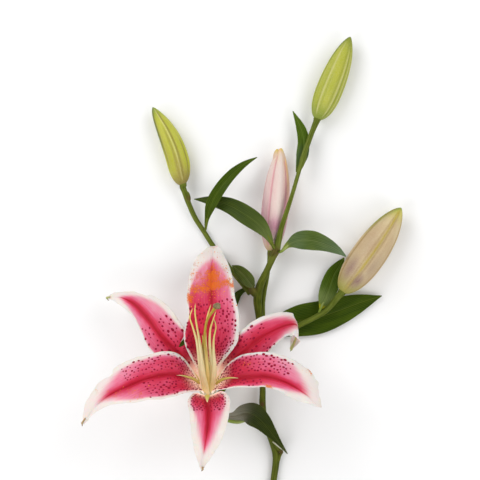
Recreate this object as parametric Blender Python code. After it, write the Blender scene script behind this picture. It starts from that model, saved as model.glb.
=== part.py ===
"""A cut oriental lily laid flat on a table: one open flower, four closed buds, ten leaves, one cut stem.

X runs to the right of the stem, Y towards the bud end, Z up from the table. The design numbers are
millimetres in a working frame whose origin lies on the table beside the middle of the stem. At the end
every piece is moved so that the origin is the bottom centre of the whole part's box.
"""
import math

import bmesh
import bpy
from mathutils import Vector

MM = 0.001

# Open flower: where its receptacle is, and how far its axis leans from straight up towards +Y.
FLOWER_CENTRE = Vector((-30.0, -75.5, 26.0))
FLOWER_LEAN = math.radians(30)
FLOWER_RIGHT = Vector((1.0, 0.0, 0.0))
FLOWER_UP = Vector((0.0, math.cos(FLOWER_LEAN), -math.sin(FLOWER_LEAN)))
FLOWER_AXIS = Vector((0.0, math.sin(FLOWER_LEAN), math.cos(FLOWER_LEAN)))

TEPAL_THICKNESS = 1.1
LEAF_THICKNESS = 0.8

# Each tepal: its midline as (distance from the flower's axis, degrees around it, height along it),
# half widths on its two sides, degrees each side is folded back, and the curl of its cross-section.
TROUGH = (0.2, 0.12, 0.06, 0.02, 0.01, 0, -0.005, -0.005, 0)
TEPALS = {
    "tepal_inner_top": {
        "mid": (
            (5, 90, 1.5), (7.5, 90, 13), (14, 90, 26), (25, 89, 38), (40, 86, 45),
            (58, 87, 49), (79, 88, 48), (94, 88, 46), (106, 88, 42),
        ),
        "left": (2.2, 5.5, 12, 19, 18, 19, 17, 11, 3),
        "right": (2.2, 5.5, 12.5, 23, 22, 18, 15.5, 10.5, 3),
        "fold_left": (0, 0), "fold_right": (0, 0), "wave": 0.5,
    },
    "tepal_inner_left": {
        "mid": (
            (5, 207, 1.5), (7.5, 205, 13), (14, 199, 26), (25, 191, 39), (42, 193, 45),
            (60, 196, 46), (75, 197, 42), (89, 199, 35), (102, 202, 24),
        ),
        "left": (2.2, 5.5, 12, 19, 20.5, 15, 9, 5, 0.4),
        "right": (2.2, 5.5, 12, 18, 18.5, 18.5, 16, 10, 0.4),
        "fold_left": (0, 0), "fold_right": (0, 0), "wave": 1.5,
    },
    "tepal_inner_right": {
        "mid": (
            (5, 333, 1.5), (7.5, 335, 13), (14, 339, 26), (25, 345, 37), (42, 350, 42),
            (59, 348, 44), (72, 346, 40), (83, 344, 34), (91, 343, 28),
        ),
        "left": (2.2, 5.5, 12, 18, 19, 20, 18, 13, 0.4),
        "right": (2.2, 5.5, 9, 8, 8.5, 9, 8.5, 5, 0.4),
        "fold_left": (0, 0), "fold_right": (0, 0, 0, 10, 30, 40, 40, 30, 0), "wave": 2.5,
    },
    "tepal_outer_bottom": {
        "mid": (
            (5.6, 270, 1.5), (10.5, 270, 12), (17, 270, 24.5), (26, 271, 34), (38, 272, 40),
            (53, 270.5, 42), (64, 269, 40), (72, 268, 35), (77, 268, 28),
        ),
        "left": (2.2, 4.5, 10.5, 15, 14.5, 12.5, 9, 4.5, 0.4),
        "right": (2.2, 4.5, 10.5, 15, 14, 12, 8.5, 4.5, 0.4),
        "fold_left": (0, 0), "fold_right": (0, 0), "wave": 0.5,
    },
    "tepal_outer_left": {
        "mid": (
            (5.6, 152, 1.5), (10.5, 150, 12), (17, 148, 24.5), (26, 147, 35), (42, 144, 42),
            (61, 139, 45), (78, 137, 44), (93, 138, 39), (103, 141, 32),
        ),
        "left": (2.2, 4.5, 9, 13, 14, 12, 9, 6, 0.4),
        "right": (2.2, 4.5, 9, 16, 18.5, 18.5, 13, 6, 0.4),
        "fold_left": (0, 0, 0, 10, 30, 50, 50, 30, 0), "fold_right": (0, 0), "wave": 1.0,
    },
    "tepal_outer_right": {
        "mid": (
            (5.6, 30, 1.5), (10.5, 30, 12), (17, 29, 24.5), (29, 28, 36), (47, 30, 45),
            (66, 29, 48), (78, 28, 42), (78, 26, 28), (71, 23, 15),
        ),
        "left": (2.2, 4.5, 9, 14, 14, 13, 11, 8, 0.4),
        "right": (2.2, 4.5, 9, 13, 13, 11, 9, 6, 0.4),
        "fold_left": (0, 0), "fold_right": (0, 0, 0, 10, 40, 60, 50, 30, 0), "wave": 2.0,
    },
}

# Stem and stalks: places along each one as (x, y, z, radius).
MAIN_STEM = (
    (15, -205, 2.5, 2.5), (18.6, -178, 2.5, 2.5), (21.8, -150, 2.5, 2.5), (23.8, -131, 3.2, 2.9), (20, -117, 4, 2.6),
    (15, -105, 5, 2.5), (13, -90, 6, 2.6), (13, -75, 7, 2.4), (12, -55, 8, 2.4), (11, -38, 8.6, 2.6),
    (10.4, -20, 9.4, 2.9), (9, -5, 10, 3.5), (11, 6, 11.5, 3.2), (15.5, 16, 13.5, 2.6), (20, 26, 16, 2.5),
    (23.4, 33.5, 18, 3.1),
)
TOP_BUD_STALK = (
    (23.8, 34.4, 18.2, 2.9), (27.4, 51, 22.4, 2.1), (32.2, 66, 23.6, 1.8), (37, 81, 21.6, 1.6),
    (40.8, 94, 18.5, 1.6), (45, 108, 15, 1.9), (49, 119, 12.9, 2), (52.5, 128.5, 11.6, 2.1), (55.6, 136, 10.8, 2.6),
)
LEFT_BUD_STALK = (
    (3.6, 0.3, 8.8, 3.1), (-2, 6, 6.2, 2.2), (-8, 13, 4, 1.9), (-15, 22, 2.6, 1.9), (-27, 38, 2, 1.9),
    (-34, 49, 2.4, 1.9), (-41, 60, 4.5, 2), (-46.6, 73, 7, 2.1), (-49.3, 81, 8.4, 2.3), (-50.4, 84, 8.8, 2.5),
)
PINK_BUD_STALK = (
    (14.2, -31, 5.2, 1.7), (13.4, -20, 4.4, 1.7), (13.4, -8, 4.2, 1.7), (14.7, 2, 4.6, 1.7),
    (16.2, 10, 6, 1.7), (17.2, 17, 8, 1.7), (18.4, 25, 9.8, 1.8), (18.9, 31.4, 10.8, 2.3),
)
RIGHT_BUD_STALK = (
    (16.2, -41.5, 7.6, 2), (24, -36.5, 7.2, 2), (33, -31, 7.4, 2), (42, -26, 8, 2), (52.5, -20.5, 9, 2.1),
    (62.5, -14.5, 10.6, 2.2), (69, -7.5, 12, 2.4), (74, -1.2, 13.4, 2.8),
)
FLOWER_STALK = (
    (7.3, -48.8, 8, 2), (1, -56, 7.2, 2), (-7, -64, 6.5, 2.1), (-16, -73.5, 6.2, 2.2), (-23.5, -83, 7.6, 2.3),
    (-28.4, -86.5, 13, 2.5), (-30, -80.4, 17.6, 3), (-30, -77.4, 22.7, 5), (-30, -75, 26.87, 6.8),
)

# Buds: where each begins and ends, its largest radius and where along it that is, and its sideways bow.
BUDS = {
    "bud_top_green": {
        "base": (56, 137.2, 10.6), "tip": (82.6, 203.4, 10), "radius": 10.4, "widest": 0.36, "bow": 0.2,
    },
    "bud_left_green": {
        "base": (-50, 85.6, 9), "tip": (-74.4, 147.6, 8.6), "radius": 9.1, "widest": 0.3, "bow": 3.8,
    },
    "bud_pink": {"base": (19.4, 32.3, 11), "tip": (27.2, 115, 11.2), "radius": 10.8, "widest": 0.42, "bow": 0.2},
    "bud_right_cream": {
        "base": (75.4, 0.6, 13.6), "tip": (122.6, 67.6, 13), "radius": 13.6, "widest": 0.42, "bow": 0.8,
    },
}

# Leaves: midline places (x, y, z), half widths, roll about the midline in degrees, and cupping.
LEAVES = {
    "leaf_left_stalk": {
        "mid": (
            (-32.4, 50.6, 5.4), (-31, 59.5, 13), (-27.2, 71, 21.5), (-20, 83, 25), (-11.2, 93.5, 24),
            (-1.8, 101.5, 20), (8.5, 107.5, 14),
        ),
        "half": (0.8, 1.9, 4.4, 4.6, 3.8, 2.4, 0.3), "roll": (0, 10), "cup": 0.25,
    },
    "leaf_over_pink_bud": {
        "mid": (
            (20.6, 37.6, 21.8), (16.4, 46, 24.6), (9.2, 54.5, 26), (-1, 62, 24), (-13, 69, 18.5), (-27, 73, 12.5),
            (-41.5, 74.5, 8),
        ),
        "half": (1, 3.5, 6.6, 7.4, 6.2, 3.9, 0.3), "roll": (-10, 10), "cup": 0.2,
    },
    "leaf_upper_right": {
        "mid": (
            (27.6, 32.6, 18.4), (33, 38.2, 20.4), (41, 41.5, 22.5), (51.5, 41.5, 23), (62.5, 38.5, 21),
            (71.5, 34, 19), (78.6, 29, 19.5),
        ),
        "half": (0.8, 2.6, 6.8, 7.6, 5.6, 3.2, 0.3), "roll": (10, 0), "cup": 0.2,
    },
    "leaf_short_left": {
        "mid": ((5.8, 4.6, 15.8), (2.2, 9.4, 15.4), (-2.4, 14.8, 14), (-7, 18.8, 12.2), (-11.4, 21.8, 10.6)),
        "half": (1.4, 5, 5.2, 3.8, 0.3), "roll": (0, 20), "cup": 0.2,
    },
    "leaf_behind_flower": {
        "mid": ((1.5, 4, 2.6), (-6, -1, 2.2), (-15, -13, 2.4), (-28, -26, 2.6), (-41, -36, 2.6), (-54.5, -45, 2.6)),
        "half": (1.2, 2.6, 6, 6.8, 5, 0.3), "roll": (0, 0), "cup": 0.08,
    },
    "leaf_top_stalk": {
        "mid": ((40, 95.4, 14.2), (44, 108, 11), (45.4, 120, 9), (43.2, 131, 8.2), (37, 144.5, 8)),
        "half": (1, 4.6, 4.6, 3.6, 0.3), "roll": (0, 0), "cup": 0.12,
    },
    "leaf_right_stalk": {
        "mid": (
            (58.8, -12.8, 9.8), (62.4, -5, 7.4), (66, 4, 4.4), (69.4, 13.5, 3), (74, 21, 2.4), (78, 28, 2.2),
        ),
        "half": (1, 5.6, 7.2, 6.4, 4.4, 0.3), "roll": (0, 0), "cup": 0.08,
    },
    "leaf_large": {
        "mid": (
            (17, -34, 3.4), (27, -27, 3), (43, -22.4, 3), (58.5, -19.6, 3), (75, -14, 3), (91, -8, 3.2),
            (108, -2.5, 4),
        ),
        "half": (1.4, 8.6, 12.6, 13, 11, 7, 0.3), "roll": (0, 0), "cup": 0.05,
    },
    "leaf_folded": {
        "mid": (
            (-19.4, -97.6, 12), (-9.6, -96.6, 18), (-1.9, -93.6, 24), (5, -94.6, 26), (12.1, -100.4, 22),
            (18.6, -108.6, 17), (25.1, -117.4, 12), (32.7, -127.8, 8.5),
        ),
        "half": (1.6, 3.2, 6.6, 9, 7.2, 4.8, 2.4, 0.3), "roll": (0, 10, 10, 0, 0), "cup": 0.15,
    },
    "leaf_spike": {
        "mid": ((14.6, -60, 11.4), (15.6, -51, 11.8), (18.2, -42, 12)),
        "half": (1.5, 1.6, 0.25), "roll": (0, 0), "cup": 0.1,
    },
}

# Pistil and filaments: places in the flower's own frame (right, up, along its axis), then radius.
PISTIL = (
    (0, 0, 1.7, 1.9), (0, 0, 12, 2), (0, 0.6, 22, 1.7), (0.1, 2.4, 36, 1.3), (-0.6, 6.6, 52, 1.15),
    (-1.6, 10.8, 62, 1.1), (-1.2, 16.7, 70, 1.1), (0.4, 22.8, 76, 1.2), (4.1, 27.5, 80, 1.5),
    (6.4, 29.8, 81.6, 2.8), (8.4, 31.8, 82.4, 3.2), (9.6, 33, 82.8, 2.2),
)
FILAMENTS = {
    "filament_1": (
        (-2.9, -1.7, 2), (-3.2, -0.8, 14), (-4.8, 2.4, 27), (-5.8, 6.8, 40), (-7.6, 15, 56), (-10.4, 22, 65),
        (-12.6, 28, 70.5), (-10.5, 34, 74),
    ),
    "filament_2": (
        (0, -3.4, 2), (-1.2, -3.2, 14), (-3, -0.8, 27), (-3.8, 5, 41), (-5.4, 13.8, 56), (-7.3, 22, 66),
        (-8.8, 30.5, 72), (-8.6, 37.5, 75),
    ),
    "filament_3": (
        (0, 3.4, 2), (0, 4.2, 14), (-0.3, 5.6, 28), (-0.9, 9.8, 44), (-1.2, 16, 58), (-1, 22.2, 66),
        (1, 30, 72), (3.2, 36.5, 75),
    ),
    "filament_4": (
        (2.9, 1.7, 2), (3.2, 2.6, 14), (3.4, 4.4, 27), (3.2, 7.8, 41), (2.2, 13.2, 54), (2.6, 20.5, 64),
        (4.8, 26, 70), (7, 31.4, 74),
    ),
    "filament_5": (
        (2.9, -1.7, 2), (3.9, -0.8, 14), (5.2, 1.4, 27), (5.4, 5.6, 39), (5, 10, 50), (5.2, 16.4, 58),
        (6.8, 23.4, 63), (5.6, 28.4, 66.5),
    ),
    "filament_6": (
        (-2.9, 1.7, 2), (-3.4, 3.4, 14), (-3.5, 6.8, 27), (-3.2, 10.2, 38), (-3.2, 13.6, 48), (-3, 16.4, 55),
        (-3.4, 18.5, 60),
    ),
}


def clear_scene():
    for thing in list(bpy.data.objects):
        bpy.data.objects.remove(thing, do_unlink=True)


def make_material(name, colour, roughness):
    made = bpy.data.materials.new(name)
    made.use_nodes = True
    shader = made.node_tree.nodes["Principled BSDF"]
    shader.inputs["Base Color"].default_value = (*colour, 1.0)
    shader.inputs["Roughness"].default_value = roughness
    shader.inputs["Metallic"].default_value = 0.0
    return made


def along(values, t):
    """A smooth curve through evenly spaced numbers or tuples, at t from 0 to 1."""
    rows = [Vector(v) if isinstance(v, tuple) else Vector((v, 0.0)) for v in values]
    last = len(rows) - 1
    x = min(max(t, 0.0), 1.0) * last
    i = min(int(x), last - 1)
    f = x - i
    before = rows[i - 1] if i > 0 else rows[0] * 2 - rows[1]
    after = rows[i + 2] if i + 2 <= last else rows[last] * 2 - rows[last - 1]
    slope = rows[i + 1] - before
    curve = before * 2 - rows[i] * 5 + rows[i + 1] * 4 - after
    twist = rows[i] * 3 - before - rows[i + 1] * 3 + after
    found = (rows[i] * 2 + slope * f + curve * (f * f) + twist * (f * f * f)) / 2
    return found if isinstance(values[0], tuple) else found[0]


def finish(name, bm, material):
    """Makes one named object from a mesh whose faces are turned outwards."""
    bmesh.ops.recalc_face_normals(bm, faces=bm.faces[:])
    mesh = bpy.data.meshes.new(name)
    bm.to_mesh(mesh)
    bm.free()
    mesh.materials.append(material)
    made = bpy.data.objects.new(name, mesh)
    bpy.context.scene.collection.objects.link(made)
    return made


def sheet(across, lengthwise, place):
    """A grid whose corners are put where place(u, t) says, u from -1 to 1 and t from 0 to 1."""
    bm = bmesh.new()
    bmesh.ops.create_grid(bm, x_segments=across, y_segments=lengthwise, size=1.0)
    for vert in bm.verts:
        vert.co = place(vert.co.x, (vert.co.y + 1) / 2) * MM
    return bm


def thicken(made, thickness):
    """Gives a sheet a body on both sides of itself."""
    solid = made.modifiers.new("thickness", "SOLIDIFY")
    solid.thickness = thickness * MM
    solid.offset = 0.0


def frames(path, steps):
    """Centres, side vectors, up vectors and radii of rings along a path, turning as little as they can."""
    points = [along(path, i / steps) for i in range(steps + 1)]
    centres = [p.to_3d() if len(p) > 3 else p for p in points]
    radii = [p[3] for p in points]
    side = Vector((1.0, 0.0, 0.0))
    first = (centres[1] - centres[0]).normalized()
    if abs(first.x) > 0.8:
        side = Vector((0.0, 1.0, 0.0))
    rings = []
    for i, centre in enumerate(centres):
        ahead = centres[min(i + 1, steps)] - centres[max(i - 1, 0)]
        ahead.normalize()
        side = (side - ahead * side.dot(ahead)).normalized()
        rings.append((centre, side, ahead.cross(side), radii[i]))
    return rings


def tube(name, path, sides, steps, material):
    """A closed round rod along a path of (x, y, z, radius)."""
    rings = frames(path, steps)
    bm = bmesh.new()
    bmesh.ops.create_grid(bm, x_segments=sides, y_segments=steps, size=1.0)
    for vert in bm.verts:
        centre, side, up, radius = rings[round((vert.co.y + 1) / 2 * steps)]
        angle = math.pi * vert.co.x
        vert.co = (centre + (side * math.cos(angle) + up * math.sin(angle)) * radius) * MM
    bmesh.ops.remove_doubles(bm, verts=bm.verts[:], dist=0.00001)
    bmesh.ops.holes_fill(bm, edges=bm.edges[:], sides=0)
    return finish(name, bm, material)


def flower_place(r, degrees, h):
    turn = math.radians(degrees)
    out = FLOWER_RIGHT * math.cos(turn) + FLOWER_UP * math.sin(turn)
    return FLOWER_CENTRE + out * r + FLOWER_AXIS * h


def tepal_place(tepal, u, t):
    """A place on a tepal: t runs from its base to its tip and u across it."""
    mid = tepal["mid"]
    low = along(mid, max(t - 0.004, 0))
    high = along(mid, min(t + 0.004, 1))
    centre = flower_place(*along(mid, t))
    ahead = (flower_place(*high) - flower_place(*low)).normalized()
    turn = math.radians(along(mid, t)[1])
    out = FLOWER_RIGHT * math.cos(turn) + FLOWER_UP * math.sin(turn)
    inward = FLOWER_AXIS * (high[0] - low[0]) - out * (high[2] - low[2])
    across = ahead.cross(inward).normalized()
    inward = across.cross(ahead)
    side = "left" if u < 0 else "right"
    offset = u * max(along(tepal[side], t), 0.35)
    curl = along(TROUGH, t)
    x = offset
    rise = 0.0
    if abs(curl) > 0.00001:
        x = math.sin(curl * offset) / curl
        rise = (1 - math.cos(curl * offset)) / curl
    fold = math.radians(max(along(tepal["fold_" + side], t), 0))
    rise -= abs(x) * math.sin(fold)
    x *= math.cos(fold)
    free = min(max((t - 0.3) / 0.3, 0), 1)
    phase = tepal["wave"] + (0 if u > 0 else 2.2)
    rise += free * 1.1 * u * u * math.sin(math.tau * 3.2 * t + phase)
    rise -= 0.7 * math.exp(-(offset / 2.2) ** 2) * min(1, t * 6)
    return centre + across * x + inward * rise


def spread(u):
    """Brings grid columns closer to the midline."""
    return u * (0.55 + 0.45 * abs(u))


def build_tepals(inner, outer):
    for name, tepal in TEPALS.items():
        bm = sheet(8, 20, lambda u, t: tepal_place(tepal, spread(u), t))
        made = finish(name, bm, inner if "inner" in name else outer)
        thicken(made, TEPAL_THICKNESS)


def leaf_place(leaf, u, t):
    mid = leaf["mid"]
    centre = along(mid, t)
    ahead = (along(mid, min(t + 0.01, 1)) - along(mid, max(t - 0.01, 0))).normalized()
    across = ahead.cross(Vector((0.0, 0.0, 1.0))).normalized()
    top = across.cross(ahead)
    roll = math.radians(along(leaf["roll"], t))
    side = across * math.cos(roll) + top * math.sin(roll)
    face = top * math.cos(roll) - across * math.sin(roll)
    offset = u * max(along(leaf["half"], t), 0.25)
    return centre + side * offset + face * (leaf["cup"] * abs(offset))


def build_leaves(material):
    for name, leaf in LEAVES.items():
        bm = sheet(6, 9, lambda u, t: leaf_place(leaf, u, t))
        thicken(finish(name, bm, material), LEAF_THICKNESS)


def bud_radius(t, widest):
    """Radius of a bud along its length, as a share of its largest: blunt base, long taper, rounded tip."""
    if t < widest:
        return (1 - ((widest - t) / widest) ** 2.2) ** 0.5
    x = (t - widest) / (1 - widest)
    return (1 - x ** 2.2) ** 0.7


def build_bud(name, material):
    bud = BUDS[name]
    base = Vector(bud["base"])
    tip = Vector(bud["tip"])
    ahead = tip - base
    across = ahead.cross(Vector((0.0, 0.0, 1.0))).normalized()
    top = across.cross(ahead).normalized()
    bm = bmesh.new()
    bmesh.ops.create_uvsphere(bm, u_segments=12, v_segments=12, radius=1.0)
    for vert in bm.verts:
        t = math.acos(min(max(-vert.co.z, -1), 1)) / math.pi
        angle = math.atan2(vert.co.y, vert.co.x)
        radius = bud["radius"] * bud_radius(t, bud["widest"]) * (1 - 0.04 * math.sin(3 * angle))
        ring = across * (math.cos(angle) * radius + bud["bow"] * math.sin(math.pi * t))
        vert.co = (base + ahead * t + ring + top * (math.sin(angle) * radius)) * MM
    lowest = min(vert.co.z for vert in bm.verts)
    bmesh.ops.translate(bm, verts=bm.verts[:], vec=(0.0, 0.0, -lowest))
    return finish(name, bm, material)


def build_flower_middle(pale, green):
    """The pistil on the flower's axis and six filaments around it, all bending towards the bud end."""
    rod = tuple((*flower_local(x, y, z), r) for x, y, z, r in PISTIL)
    tube("pistil", rod, 8, 22, green)
    for name, places in FILAMENTS.items():
        last = len(places) - 1
        rod = tuple((*flower_local(*place), 0.95 - 0.35 * i / last) for i, place in enumerate(places))
        tube(name, rod, 6, 10, pale)


def flower_local(x, y, z):
    return FLOWER_CENTRE + FLOWER_RIGHT * x + FLOWER_UP * y + FLOWER_AXIS * z


def centre_on_table():
    """Moves everything so the whole part's box stands on Z = 0 with its bottom centre at the origin."""
    bpy.context.view_layer.update()
    graph = bpy.context.evaluated_depsgraph_get()
    low = Vector((1.0, 1.0, 1.0))
    high = Vector((-1.0, -1.0, -1.0))
    for thing in bpy.context.scene.objects:
        mesh = thing.evaluated_get(graph).to_mesh()
        for vert in mesh.vertices:
            for axis in range(3):
                low[axis] = min(low[axis], vert.co[axis])
                high[axis] = max(high[axis], vert.co[axis])
    move = Vector(((low.x + high.x) / 2, (low.y + high.y) / 2, low.z))
    for thing in bpy.context.scene.objects:
        for vert in thing.data.vertices:
            vert.co -= move
    print("moved by mm", [round(v / MM, 2) for v in move], "size mm", [round(v / MM, 1) for v in high - low])


def build():
    clear_scene()
    stem_green = make_material("stem_green", (0.13, 0.2, 0.04), 0.5)
    leaf_green = make_material("leaf_green", (0.03, 0.09, 0.012), 0.45)
    tepal_inner = make_material("tepal_inner_pink", (0.72, 0.08, 0.2), 0.5)
    tepal_outer = make_material("tepal_outer_pink", (0.72, 0.12, 0.24), 0.5)
    bud_green = make_material("bud_green", (0.3, 0.4, 0.06), 0.5)
    bud_pink = make_material("bud_pink", (0.75, 0.42, 0.4), 0.5)
    bud_cream = make_material("bud_cream", (0.6, 0.5, 0.32), 0.5)
    filament_pale = make_material("filament_pale", (0.72, 0.62, 0.3), 0.5)
    pistil_green = make_material("pistil_green", (0.5, 0.5, 0.22), 0.5)
    tube("main_stem", MAIN_STEM, 8, 34, stem_green)
    tube("top_bud_stalk", TOP_BUD_STALK, 8, 14, stem_green)
    tube("left_bud_stalk", LEFT_BUD_STALK, 8, 16, stem_green)
    tube("pink_bud_stalk", PINK_BUD_STALK, 8, 10, stem_green)
    tube("right_bud_stalk", RIGHT_BUD_STALK, 8, 12, stem_green)
    tube("open_flower_stalk", FLOWER_STALK, 8, 20, stem_green)
    build_tepals(tepal_inner, tepal_outer)
    build_leaves(leaf_green)
    build_bud("bud_top_green", bud_green)
    build_bud("bud_left_green", bud_green)
    build_bud("bud_pink", bud_pink)
    build_bud("bud_right_cream", bud_cream)
    build_flower_middle(filament_pale, pistil_green)
    centre_on_table()


build()
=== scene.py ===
# %% [markdown]
# # A cut oriental lily, laid flat
# One stem lies on a pale table with an open pink flower, four closed buds and ten leaves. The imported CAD
# part is loaded first and stays as it is: it gives the place and size of everything, and each of its
# solids is hidden by a finer piece that is made below.

import collections
import functools
import math
import random

import bmesh
import bpy
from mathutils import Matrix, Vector, noise


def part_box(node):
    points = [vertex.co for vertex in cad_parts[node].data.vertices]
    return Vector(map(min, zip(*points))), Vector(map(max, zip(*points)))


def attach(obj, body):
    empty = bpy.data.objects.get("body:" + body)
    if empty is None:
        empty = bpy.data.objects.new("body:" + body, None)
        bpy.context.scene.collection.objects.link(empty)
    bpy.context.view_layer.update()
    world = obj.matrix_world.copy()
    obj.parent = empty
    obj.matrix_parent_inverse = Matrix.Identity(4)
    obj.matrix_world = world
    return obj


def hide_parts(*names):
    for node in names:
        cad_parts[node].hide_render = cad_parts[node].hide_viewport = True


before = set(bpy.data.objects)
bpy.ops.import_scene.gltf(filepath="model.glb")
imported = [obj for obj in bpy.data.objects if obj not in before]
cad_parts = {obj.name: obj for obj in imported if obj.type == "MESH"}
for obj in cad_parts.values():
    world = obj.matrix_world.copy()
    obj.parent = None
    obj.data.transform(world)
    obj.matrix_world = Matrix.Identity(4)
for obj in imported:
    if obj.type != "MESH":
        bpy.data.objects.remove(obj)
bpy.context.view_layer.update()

# %% [markdown]
# The flower is easiest to lay out in millimetres from a point beside the middle of the stem. The right
# bud's tip is a sharp, known place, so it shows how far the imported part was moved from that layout.

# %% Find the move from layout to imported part
MM = 0.001
RIGHT_BUD_BASE = Vector((75.4, 0.6, 0.0))
RIGHT_BUD_TIP = Vector((122.6, 67.6, 0.0))
bud_way = (RIGHT_BUD_TIP - RIGHT_BUD_BASE).normalized()
tip = max((v.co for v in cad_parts["bud_right_cream"].data.vertices), key=lambda co: co.dot(bud_way))
SHIFT = Vector((tip.x, tip.y, 0.0)) / MM - RIGHT_BUD_TIP
SHIFT.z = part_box("bud_right_cream")[0][2] / MM
print("shift in mm:", [round(v, 2) for v in SHIFT])

# %% [markdown]
# ## Table, light and camera
# A plain pale floor and four large soft lights keep shadows faint, and light the flower evenly, as for a
# plant catalogue. The lights stand off to the sides, so flat leaves keep their own deep colour and only
# tilted surfaces shine. The camera looks straight down from a little over a metre.

# %% Camera
SENSOR_WIDTH, LENS, NEAREST = 36.0, 112.5, 0.05
VIEW_POINT = Vector((-5.0, 42.0, 1200.0))
camera_data = bpy.data.cameras.new("view")
camera_data.sensor_width = SENSOR_WIDTH
camera_data.lens = LENS
camera_data.clip_start = NEAREST
camera = bpy.data.objects.new("view", camera_data)
camera.location = (VIEW_POINT + SHIFT) * MM
bpy.context.scene.collection.objects.link(camera)
bpy.context.scene.camera = camera
bpy.context.scene.view_settings.view_transform = "Standard"
print("camera at", [round(v, 3) for v in camera.location])

# %% Floor
FLOOR_HALF_WIDTH, FLOOR_GAP = 2.5, 0.0002
floor_bm = bmesh.new()
bmesh.ops.create_grid(floor_bm, x_segments=4, y_segments=4, size=FLOOR_HALF_WIDTH)
bmesh.ops.translate(floor_bm, verts=floor_bm.verts[:], vec=(0.0, 0.0, -FLOOR_GAP))
floor_mesh = bpy.data.meshes.new("floor")
floor_bm.to_mesh(floor_mesh)
floor_bm.free()
floor = bpy.data.objects.new("floor", floor_mesh)
bpy.context.scene.collection.objects.link(floor)
floor_paint = bpy.data.materials.new("pale_floor")
floor_paint.use_nodes = True
floor_shader = floor_paint.node_tree.nodes["Principled BSDF"]
floor_shader.inputs["Base Color"].default_value = (0.9, 0.9, 0.9, 1.0)
floor_shader.inputs["Roughness"].default_value = 0.9
floor_shader.inputs["Specular IOR Level"].default_value = 0.2
floor_mesh.materials.append(floor_paint)
print("floor:", 2 * FLOOR_HALF_WIDTH, "m wide")

# %% Soft lights
SKY_STRENGTH = 0.3
SOFTBOX_SIZE = 1.2
SOFTBOXES = {
    "upper_left": ((-1.0, 0.9, 1.15), 17.0),
    "upper_right": ((1.1, 0.8, 1.1), 12.0),
    "lower_left": ((-1.1, -0.9, 1.1), 11.5),
    "lower_right": ((1.0, -1.0, 1.1), 10.5),
}
world = bpy.data.worlds.new("studio")
world.use_nodes = True
world.node_tree.nodes["Background"].inputs["Color"].default_value = (1.0, 1.0, 1.0, 1.0)
world.node_tree.nodes["Background"].inputs["Strength"].default_value = SKY_STRENGTH
bpy.context.scene.world = world
for name, (place, watts) in SOFTBOXES.items():
    lamp = bpy.data.lights.new(name, "AREA")
    lamp.size = SOFTBOX_SIZE
    lamp.energy = watts
    softbox = bpy.data.objects.new(name, lamp)
    softbox.location = place
    softbox.rotation_euler = (-Vector(place)).to_track_quat("-Z", "Y").to_euler()
    bpy.context.scene.collection.objects.link(softbox)
print("lights:", len(SOFTBOXES))

# %% [markdown]
# ## Helpers for shapes
# Everything on a lily is either a sheet (tepals and leaves), a rod (stalks, filaments) or a swollen rod
# (buds). A sheet starts as a grid and a rod as a grid that is rolled up, and each corner is then moved to
# its place. A smooth curve through a few numbers gives widths, heights and colours along a piece.

# %% A smooth curve through a few values
def along(values, t):
    """The value at t, from 0 to 1, on a smooth curve through evenly spaced numbers or tuples."""
    rows = [Vector(v) if isinstance(v, tuple) else Vector((v, 0.0)) for v in values]
    last = len(rows) - 1
    x = min(max(t, 0.0), 1.0) * last
    i = min(int(x), last - 1)
    f = x - i
    before = rows[i - 1] if i > 0 else rows[0] * 2 - rows[1]
    after = rows[i + 2] if i + 2 <= last else rows[last] * 2 - rows[last - 1]
    slope = rows[i + 1] - before
    curve = before * 2 - rows[i] * 5 + rows[i + 1] * 4 - after
    twist = rows[i] * 3 - before - rows[i + 1] * 3 + after
    found = (rows[i] * 2 + slope * f + curve * (f * f) + twist * (f * f * f)) / 2
    return found if isinstance(values[0], tuple) else found[0]


def ease(low, high, x):
    """0 below low, 1 above high and a smooth rise between."""
    f = min(max((x - low) / (high - low), 0.0), 1.0)
    return f * f * (3 - 2 * f)


def bell(x, width):
    """1 where x is 0, falling to a third at one width from it."""
    return math.exp(-(x / width) ** 2)


print("halfway along 0, 4, 2:", round(along((0, 4, 2), 0.5), 2))

# %% Turn a bmesh into a finished piece
FACTS = ("skin", "tone", "dust")


def fact_stores(bm, words=FACTS):
    """Layers that keep what a finish has to know at each corner."""
    return [bm.verts.layers.float_vector.new(word) for word in words]


def keep(name, bm, finishes, node=None, slot=None):
    """Makes the object, lets it ride on the stem's body, and hides the CAD solid it stands for."""
    mesh = bpy.data.meshes.new(name)
    bm.to_mesh(mesh)
    bm.free()
    for finish in finishes:
        mesh.materials.append(finish)
    mesh.polygons.foreach_set("use_smooth", [True] * len(mesh.polygons))
    made = bpy.data.objects.new(name, mesh)
    bpy.context.scene.collection.objects.link(made)
    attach(made, "root")
    if node:
        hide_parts(node)
    return made


# %% Sheets, thinner at the rim
def sheet(across, lengthwise, corner):
    """A grid whose corners go where corner(u, t) says; it also gives up to three facts to store there."""
    bm = bmesh.new()
    bmesh.ops.create_grid(bm, x_segments=across, y_segments=lengthwise, size=1.0, calc_uvs=True)
    stores = fact_stores(bm)
    for vert in bm.verts:
        place, *facts = corner(vert.co.x, (vert.co.y + 1) / 2)
        vert.co = (place + SHIFT) * MM
        for store, fact in zip(stores, facts):
            vert[store] = Vector(fact)
    return bm


def rim_distances(bm):
    """How far each corner of a sheet is from its margin, in mm."""
    skin = bm.verts.layers.float_vector["skin"]
    return [vert[skin].z for vert in bm.verts]


def thicken(made, thickness, rim_share, rim_width, distances):
    """Gives a sheet its thickness, down to a share of it at the margin."""
    group = made.vertex_groups.new(name="body")
    for i, distance in enumerate(distances):
        group.add([i], ease(0, rim_width, distance), "REPLACE")
    solid = made.modifiers.new("thickness", "SOLIDIFY")
    solid.thickness = thickness * MM
    solid.offset = 0.0
    solid.vertex_group = "body"
    solid.thickness_vertex_group = rim_share
    solid.material_offset = 1


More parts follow.
